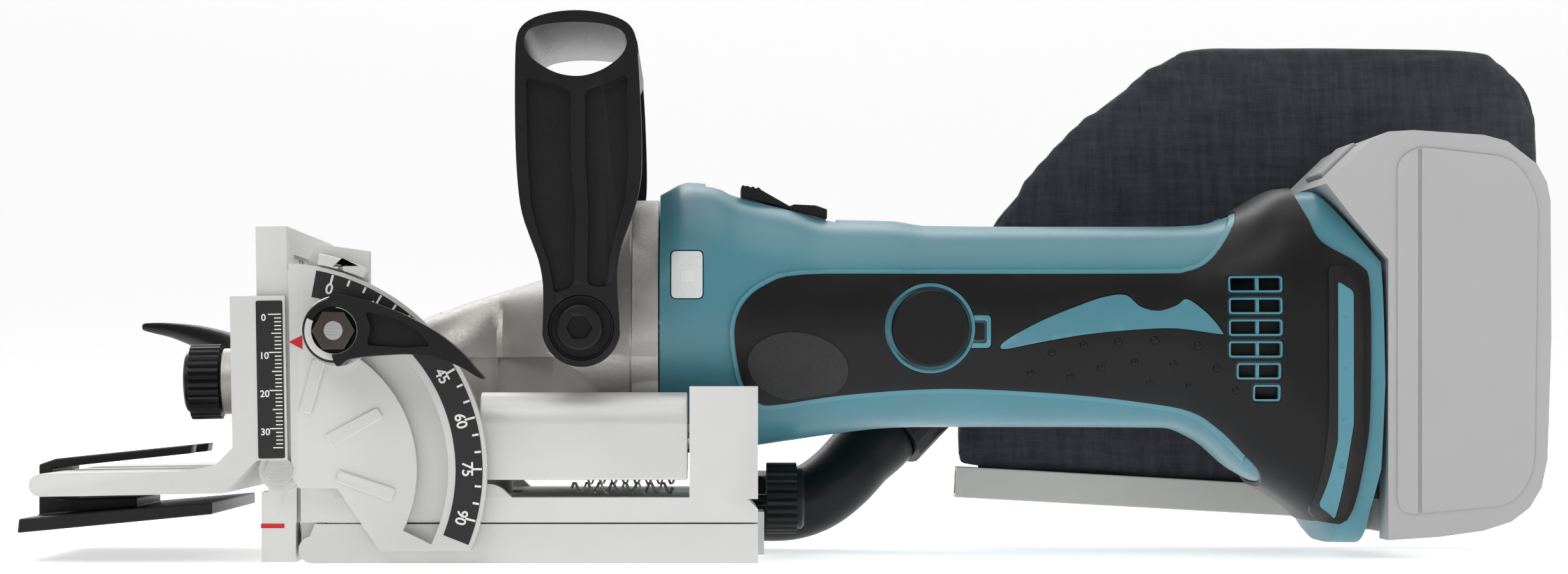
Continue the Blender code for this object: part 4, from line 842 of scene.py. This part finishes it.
def quadrant_scale():
    """The black band round the quadrant with ticks every five degrees and a number every fifteen."""
    y = QUAD_Y
    band = arc(PIN_X, PIN_Z, 53.4, 79.5, -21.5, 72) + arc(PIN_X, PIN_Z, 46.3, -21.5, 79.5, 72)
    piece(prism("Y", band, y - 0.12, y + 0.1), "angle_band", "guide", LABEL)
    marks = []
    for k in range(19):
        a = math.radians(90 - 15.4 - 5 * k * (104.5 - 15.4) / 90)
        length = 2.7 if k % 3 == 0 else 1.7
        wide = 0.28
        r0, r1 = 53.2 - length, 53.2
        u, v = Vector((math.cos(a), math.sin(a))), Vector((-math.sin(a), math.cos(a)))
        quad = [u * r0 - v * wide, u * r1 - v * wide, u * r1 + v * wide, u * r0 + v * wide]
        marks.append(prism("Y", [(PIN_X + p.x, PIN_Z + p.y) for p in quad], y - 0.2, y))
        if k % 3 == 0 and k != 6:
            r = 49.3
            marks.append(letters(str(5 * k), 4.0, side_matrix(PIN_X + r * math.cos(a), y - 0.16,
                                                              PIN_Z + r * math.sin(a), math.pi / 2 - a)))
    piece(merge(marks), "angle_marks", "guide", WHITE)


def fence_scale():
    """The black height scale on the fence's near cheek."""
    y = at("fence", 1, 0)
    shape = rounded([(-65.5, 27.9), (-58.5, 27.9), (-58.5, 69.3), (-65.5, 69.3)], 0.6)
    plate = lean(prism("Y", shape, y - 0.15, y + 0.1))
    piece(plate, "height_label", "fence_slider", LABEL)
    marks = []
    zero = 65.7
    for k in range(36):
        length = 3.4 if k % 10 == 0 else (2.6 if k % 5 == 0 else 1.8)
        marks.append(lean(box(-58.9 - length, -58.9, y - 0.22, y - 0.1, zero - k - 0.15, zero - k + 0.15)))
        if k % 10 == 0:
            spot = Vector((-63.5, 0, zero - k - 0.9))
            marks.append(lean(letters(str(k), 2.5, side_matrix(spot.x, y - 0.2, spot.z))))
    piece(merge(marks), "height_marks", "fence_slider", WHITE)
    tri = [(-57.7, 58.4), (-54.1, 60.2), (-54.1, 56.5)]
    piece(prism("Y", tri, QUAD_Y - 0.16, QUAD_Y + 0.1), "height_pointer", "guide", RED)


def guide_parts():
    """Raised ribs on the quadrant and the pin cap."""
    ribs = []
    for a, b, wide0, wide1 in (((-49.7, 53.7), (-53.5, 39.8), 1.8, 1.7), ((-47.2, 32.3), (-33.6, 40.0), 1.9, 1.6),
                               ((-45.0, 23.4), (-30.2, 18.2), 1.6, 1.9)):
        p, q = Vector(a), Vector(b)
        n = Vector((-(q - p).y, (q - p).x)).normalized()
        outline = rounded([p - n * wide0, q - n * wide1, q + n * wide1, p + n * wide0], 0.9)
        ribs.append(prism("Y", [(c[0], c[1]) for c in outline], QUAD_Y - 0.9, QUAD_Y + 0.4))
    piece(merge(ribs), "quadrant_ribs", "guide", SATIN, 0.35, 3)
    cap = turned("Y", (PIN_X, PIN_Z), [(3.8, QUAD_Y + 0.5), (3.8, QUAD_Y - 0.08), (3.6, QUAD_Y - 0.1)], 40)
    piece(cap, "pin_cap", "guide", STEEL)


def base_parts():
    """Red centre marks on the base."""
    marks = [box(-65.75, -59.5, -57.12, -56.95, 9.3, 10.5)]
    marks.append(box(-65.72, -65.5, -12, 12, 15.2, 15.6))
    piece(merge(marks), "centre_line", "base", RED)


# ================================================================ levers and knobs
def angle_lever():
    """The swept clamp lever on the quadrant with its washer and nut."""
    centre = (LOCK_X, LOCK_Z)
    y0, y1 = at("angle_lever", 1, 1), -73.6
    hub = turned("Y", centre, [(8.4, y0), (8.4, y1 + 0.8), (7.8, y1)], 64)
    outline = [(-46.5, 69.4), (-37.4, 69.3), (-31.5, 67.4), (-25.8, 65.1), (-17.3, 60.4), (-11.0, 55.1),
               (-8.0, 51.6), (-5.7, 48.9), (-7.4, 49.2), (-12.0, 51.9), (-19.5, 54.5), (-25.8, 55.1),
               (-31.0, 54.9), (-36.4, 54.5), (-40.6, 53.8), (-44.6, 52.9)]
    arm = prism("Y", spline2(outline, 4), -76.0, -67.5)
    hollow = [(-36.6, 66.2), (-28.0, 64.3), (-22.6, 61.0), (-19.4, 57.2), (-25.8, 56.7), (-36.2, 57.4), (-34.9, 62.0)]
    cut(arm, prism("Y", rounded(hollow, 1.4), -90, -72.6))
    for v in arm.data.vertices:
        out = max(0.0, v.co.x / MM + 38.0) / 31.0
        v.co.y -= 0.0016 * out * out
    join(hub, arm)
    cut(hub, disc("Y", centre, 6.2, -90, -71.6, 48), disc("Y", centre, 3.6, -90, -50, 32))
    piece(hub, "clamp_lever", "angle_lock", BLACK, 0.5, 3, swaps=("angle_lever",))
    crescent = arc(LOCK_X, LOCK_Z, 7.7, -205, 85, 48) + arc(LOCK_X, LOCK_Z, 5.9, 85, -205, 48)
    piece(prism("Y", crescent, -74.4, -73.8), "washer_edge", "angle_lock", SATIN, 0.15, 2)
    nut = disc("Y", centre, 5.6, -76.6, -70.0, 6)
    carve(nut, "INTERSECT", turned("Y", centre, [(8.0, -70.0), (8.0, -75.6), (5.0, -76.9)], 48))
    cut(nut, disc("Y", centre, 2.4, -80, -60, 32))
    piece(nut, "clamp_nut", "angle_lock", DARK, 0.2, 2, swaps=("lever_nut",))


def fluted(axis, centre, r, depth, count, t0, t1):
    """A knurled drum."""
    pts = []
    for i in range(count):
        for step, drop in ((0.0, depth), (0.3, 0.0), (0.7, 0.0), (0.98, depth)):
            a = 2 * math.pi * (i + step) / count
            pts.append((centre[0] + (r - drop) * math.cos(a), centre[1] + (r - drop) * math.sin(a)))
    return prism(axis, pts, t0, t1)


def knobs():
    """The knurled height knob and the cover's thumb screw."""
    knob = fluted("X", (0, KNOB_Z), 10.5, 0.7, 30, -91.4, -83.0)
    join(knob, turned("X", (0, KNOB_Z), [(8.2, -91.0), (8.2, -92.5), (7.4, -93.0)], 48))
    join(knob, disc("X", (0, KNOB_Z), 8.0, -84.0, -76.4))
    cut(knob, turned("X", (0, KNOB_Z), [(5.6, -95.0), (5.2, -92.1)], 48))
    piece(lean(knob), "height_drum", "height_knob", BLACK, 0.25, 2, swaps=("fence_knob",))
    collar = revolve("X", (0, KNOB_Z), [(8.3, -82.4), (9.2, -82.4), (9.2, -76.0), (8.3, -76.0)], 64)
    piece(lean(collar), "knob_collar", "fence_slider", CAST, 0.3, 2)
    low, high = (Vector(c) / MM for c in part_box("cover_knob"))
    cz = (low.z + high.z) / 2
    drum = fluted("X", (0, cz), 10.0, 0.7, 26, 69.0, 77.4)
    join(drum, turned("X", (0, cz), [(8.6, 77.0), (8.6, 78.7), (7.6, 79.5)], 48))
    join(drum, disc("X", (0, 15.0), 1.6, 60.0, 69.6, 24))
    piece(drum, "cover_drum", "cover_screw", BLACK, 0.25, 2, swaps=("cover_knob",))


def fence_lever():
    """The curved lever that locks the fence's height."""
    hub = turned("X", (21, 53.5), [(5.2, -83.0), (7.4, -81.8), (7.4, -73.6), (6.6, -72.7)], 48)
    rows = (((-80, 22.5, 55.5), 5.0), ((-85, 29, 58.6), 4.2), ((-94, 38, 61.6), 3.4), ((-103, 45, 63.9), 2.2),
            ((-110.5, 49.4, 65), 1.4), ((-112.6, 50.4, 65.2), 0.9))
    path = curve_through([row[0] for row in rows], 5)
    last = len(rows) - 1
    radii = []
    for k in range(len(path)):
        t = last * k / (len(path) - 1)
        i = min(int(t), last - 1)
        radii.append(rows[i][1] + (rows[i + 1][1] - rows[i][1]) * (t - i))
    join(hub, sweep(path, radii, 24, 0.8), disc("X", (21, 53.5), 2.8, -75.0, -68.0, 24))
    piece(lean(hub), "lock_lever", "height_lock", BLACK, 0.3, 2, swaps=("fence_lever",))


# ================================================================ dust bag
def settle(obj, low, high, reach, seam_y):
    """Lets the cloth puff out as woven cloth does, held along its sewn edge."""
    bpy.context.view_layer.objects.active = obj
    mod = obj.modifiers.new("even", "REMESH")
    mod.mode, mod.voxel_size = "VOXEL", 4.5 * MM
    soft = obj.modifiers.new("soft", "SMOOTH")
    soft.factor, soft.iterations = 0.5, 10
    bake(obj)
    start = [v.co.copy() for v in obj.data.vertices]
    sewn = obj.vertex_groups.new(name="sewn")
    for v in obj.data.vertices:
        sewn.add([v.index], 1.0 if abs(v.co.y / MM - seam_y) < 2.6 else 0.0, "REPLACE")
    mod = obj.modifiers.new("cloth", "CLOTH")
    made = mod.settings
    made.vertex_group_mass = "sewn"
    made.quality, made.mass, made.uniform_pressure_force = 5, 0.3, 4.0
    made.tension_stiffness = made.compression_stiffness = 15
    made.shear_stiffness, made.bending_stiffness = 5, 0.5
    made.use_pressure = True
    made.effector_weights.gravity = 0.0
    mod.point_cache.frame_start, mod.point_cache.frame_end = 1, 20
    for k in range(1, 21):
        SCENE.frame_set(k)
    bake(obj)
    SCENE.frame_set(1)
    for v, was in zip(obj.data.vertices, start):
        step = v.co - was
        if step.length > reach * MM:
            v.co = was + step.normalized() * reach * MM
        for i in range(3):
            v.co[i] = min(max(v.co[i], (low[i] + 0.3) * MM), (high[i] - 0.3) * MM)


def bag():
    """The cloth bag: a sewn shell let out under pressure, its piping and its hem."""
    low, high = (Vector(c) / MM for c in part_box("dust_bag"))
    outline = [(132.0, 25.2), (127.6, 30.0), (127.8, 36.0), (131.4, 62.0), (135.6, 90.0), (145.0, 103.7),
               (160.0, 121.2), (175.0, 133.5), (190.0, 144.0), (199.0, 146.8), (216.5, 147.0), (243.0, 147.0),
               (279.0, 145.8), (286.5, 142.6), (295.0, 134.8), (298.0, 123.3), (298.2, 100.0), (293.5, 60.0),
               (287.0, 17.6), (282.0, 16.8), (240.0, 19.2), (180.0, 22.4)]
    pts = [(x, min(z, high.z - 0.4)) for x, z in spline2(outline, 5)]
    centre = Vector((218.0, 84.0))
    mid_y, half = (low.y + high.y) / 2, (high.y - low.y) / 2 * 0.62
    rows = []
    for k in range(-11, 12):
        t = math.radians(88.0) * k / 11
        reach = math.cos(t) ** 0.35
        rows.append([(centre.x + (x - centre.x) * reach, mid_y + half * math.sin(t),
                      centre.y + (z - centre.y) * reach) for x, z in pts])
    obj = make(*bridge(rows))
    settle(obj, low, high, 5.5, mid_y)
    for v in obj.data.vertices:
        x, y, z = v.co / MM
        edge = min(1.0, abs(y - mid_y) / 6.0)
        fold = noise.noise(Vector((x / 38, 3.1, z / 46))) * 1.3 + noise.noise(Vector((x / 15, 8.0, z / 19))) * 0.45
        fold += math.sin(x / 9.0 + z / 30.0) * 0.5 * max(0.0, 1 - abs(z - 36) / 30)
        y += (1 if y > mid_y else -1) * (fold - 1.2) * edge
        v.co.y = min(max(y, low.y + 0.2), high.y - 0.2) * MM
    for i, reach in ((0, [p[0] for p in pts]), (2, [p[1] for p in pts])):
        found = [v.co[i] / MM for v in obj.data.vertices]
        scale = (max(reach) - min(reach)) / (max(found) - min(found))
        for v in obj.data.vertices:
            v.co[i] = (min(reach) + (v.co[i] / MM - min(found)) * scale) * MM
    sub = obj.modifiers.new("sub", "SUBSURF")
    sub.levels = sub.render_levels = 1
    bake(obj)
    piece(obj, "bag_cloth", "bag", BAG, sharp=70, swaps=("dust_bag",))
    seam = [(x, mid_y, z) for x, z in grown(pts, -1.2)]
    piece(sweep(seam + seam[:1], 1.2, 8), "bag_piping", "bag", BAG)
    hem = [(133.0, 21.4), (281.0, 13.2), (283.0, 26.0), (133.0, 31.0)]
    piece(prism("Y", hem, mid_y - 0.6, mid_y + 0.6), "bag_hem", "bag", BAG)


def fastener():
    """The extruded C-bar that closes the bag."""
    low, high = (Vector(c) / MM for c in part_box("bag_fastener"))
    mid = (low.y + high.y) / 2
    loop = []
    outer = [(-4.4, -4.6), (4.4, -4.6), (4.4, 4.6), (1.9, 4.6), (1.9, 3.4), (3.2, 3.4), (3.2, -3.4), (-3.2, -3.4),
             (-3.2, 3.4), (-1.9, 3.4), (-1.9, 4.6), (-4.4, 4.6)]
    outer = rounded(outer, 0.5, 3)
    start, stop = Vector((126.2, mid, 18.6)), Vector((277.2, mid, 10.2))
    run = (stop - start).normalized()
    up = Vector((0, 1, 0)).cross(run) * -1
    for p in (start, stop):
        loop.append([tuple(p + Vector((0, 1, 0)) * u + up * v) for u, v in outer])
    piece(make(*bridge(loop)), "fastener_bar", "fastener", IVORY, sharp=30, swaps=("bag_fastener",))


def elbow():
    """The bent dust pipe with its flange."""
    path = curve_through([(66.4, 30, 12.4), (76, 30, 12.6), (84, 31, 15.2), (91, 34, 20.2), (97, 37.6, 26.4),
                          (104, 42, 33.5)], 5)
    last = Vector(path[-1])
    run = (last - Vector(path[-2])).normalized()
    radii = [10.2] * (len(path) - 5) + [10.4, 10.7, 10.9, 10.9, 10.9]
    pipe = sweep(path, radii, 40)
    join(pipe, prism("X", rounded([(17.4, 3.0), (42.6, 3.0), (42.6, 21.6), (17.4, 21.6)], 3.0), 66.2, 68.6))
    join(pipe, sweep([tuple(last - run * 3), tuple(last + run * 4.0)], 9.9, 40))
    cut(pipe, sweep([(60.0, 30, 12.4)] + path[1:-1] + [tuple(last + run * 12)], 8.3, 32))
    piece(pipe, "dust_pipe", "base", BLACK, 0.4, 2, swaps=("dust_elbow",))


# ================================================================ battery
def battery():
    """The plain pale pack with its raised side panels, seam and release button."""
    shape = [(236.2, 5.2), (249.9, 6.1), (262.0, 7.8), (269.4, 10.2), (274.4, 14.0), (277.6, 19.4), (279.2, 27.0),
             (280.2, 60.0), (280.0, 97.0), (279.0, 102.0), (276.4, 106.8), (268.4, 113.0), (262.0, 114.7),
             (243.0, 116.0), (236.2, 115.6), (231.2, 113.0), (219.4, 101.6), (227.2, 91.6), (236.2, 81.0)]
    body = prism("Y", shape, -36.4, 36.4)
    raised = [(238.6, 12.0), (270.0, 15.0), (275.5, 24.0), (276.5, 98.0), (270.0, 108.5), (244.0, 111.5),
              (238.6, 108.0)]
    for side in (-1, 1):
        join(body, prism("Y", rounded(raised, 5.0), *span(side, 30.0, 37.0)))
        cut(body, box(244.1, 245.1, *span(side, 36.3, 40.0), 12.0, 110.8))
    cut(body, box(230, 241.2, -23.6, 23.6, -5, 79.0), box(239.9, 243.0, -27.6, 27.6, -5, 79.0))
    for y in (-13.0, 13.0):
        cut(body, box(242.0, 247.4, y - 2.0, y + 2.0, -5, 60.0))
    pocket = box(-7.0, 7.0, -13, 13, -4.6, 10.0)
    spot = Matrix.Translation(Vector((227.6, 0, 108.9)) * MM) @ Matrix.Rotation(math.radians(-43.0), 4, "Y")
    pocket.data.transform(spot)
    cut(body, pocket)
    piece(body, "pack_body", "pack", PACK, 0.5, 3, swaps=("battery",))


# ================================================================ floor, light and camera
def studio():
    """A pale seamless sweep, soft lights all round and the camera."""
    start, bend, wide, height = 7.0, 2.0, 24.0, 9.0
    profile = [(-10.0, -0.0002)] + [(start + bend * math.sin(a), bend - bend * math.cos(a) - 0.0002) for a in
                                    (math.pi / 2 * i / 24 for i in range(25))] + [(start + bend, height)]
    mesh = bpy.data.meshes.new("backdrop")
    verts = [(x, y, z) for x in (-wide / 2, wide / 2) for y, z in profile]
    n = len(profile)
    mesh.from_pydata(verts, [], [(i, i + n, i + n + 1, i + 1) for i in range(n - 1)])
    for face in mesh.polygons:
        face.use_smooth = True
    floor = bpy.data.objects.new("backdrop", mesh)
    SCENE.collection.objects.link(floor)
    mat, _, bsdf = shader("pale_floor", (0.86, 0.86, 0.86), 0.8)
    bsdf.inputs["Emission Color"].default_value = (1, 1, 1, 1)
    bsdf.inputs["Emission Strength"].default_value = 0.62
    mesh.materials.append(mat)
    world = bpy.data.worlds.new("studio")
    world.use_nodes = True
    world.node_tree.nodes["Background"].inputs["Color"].default_value = (1, 1, 1, 1)
    world.node_tree.nodes["Background"].inputs["Strength"].default_value = 0.13
    SCENE.world = world
    for name, spot, aim, size, power in (
            ("key", (-0.7, -1.3, 1.5), (0.05, 0, 0.06), 1.1, 13),
            ("fill", (1.2, -1.1, 0.7), (0.1, 0, 0.06), 1.2, 4.5),
            ("top", (0.1, 0.1, 1.9), (0.08, 0, 0.05), 1.6, 13),
            ("back", (-0.3, 2.0, 1.4), (0.1, 2.4, 0.3), 2.2, 42)):
        lamp_data = bpy.data.lights.new(name, "AREA")
        lamp_data.size, lamp_data.energy, lamp_data.shape = size, power, "SQUARE"
        lamp_obj = bpy.data.objects.new(name, lamp_data)
        SCENE.collection.objects.link(lamp_obj)
        lamp_obj.location = spot
        lamp_obj.rotation_euler = (Vector(aim) - Vector(spot)).to_track_quat("-Z", "Y").to_euler()
    camera = bpy.data.cameras.new("camera")
    camera.sensor_width, camera.lens = 36.0, 81.94
    camera.shift_x, camera.shift_y = 0.0586, 0.0645
    camera.clip_start, camera.clip_end = 0.02, 50
    holder = bpy.data.objects.new("camera", camera)
    SCENE.collection.objects.link(holder)
    holder.location = (0.0482, -1.0, 0.0463)
    holder.rotation_euler = (math.radians(90), 0, 0)
    SCENE.camera = holder
    SCENE.view_settings.view_transform = "Standard"


# ================================================================ everything
studio()
housing()
panels()
lamp()
gear_case()
handle()
quadrant_scale()
fence_scale()
guide_parts()
base_parts()
angle_lever()
knobs()
fence_lever()
bag()
fastener()
elbow()
battery()
KEPT = {
    "base_frame": (SATIN, 0.3), "blade_cover": (SATIN, 0.5), "angle_guide": (SATIN, 0.4), "fence": (SATIN, 0.5),
    "pointer_bracket": (SATIN, 0.3), "set_plate": (BLACK, 0.4),
    "slide_switch": (BLACK, 0.2), "shaft_lock_button": (BLACK, 0.3), "depth_dial": (BLACK, 0.2),
    "battery_button": (PACK_RECESS_SHADE, 0.0), "battery_terminal": (BLACK, 0.0), "bag_neck": (BLACK, 0.3),
    "blade": (STEEL, 0.0), "blade_nut": (DARK, 0.2), "lever_washer": (STEEL, 0.15), "stator": (DARK, 0.0),
    # the battery button takes the pack colour darkened as painted recess shade
    "armature_core": (COPPER, 0.0), "commutator": (COPPER, 0.0), "fan": (BLACK, 0.0), "switch_unit": (BLACK, 0.0),
    "bearing_seat": (BLACK, 0.0), "carbon_brush_left": (DARK, 0.0), "carbon_brush_right": (DARK, 0.0),
}
for node_name, node_obj in NODES.items():
    if not node_obj.hide_render:
        look, soft = KEPT.get(node_name, (STEEL, 0.0))
        repaint(node_name, look, soft)
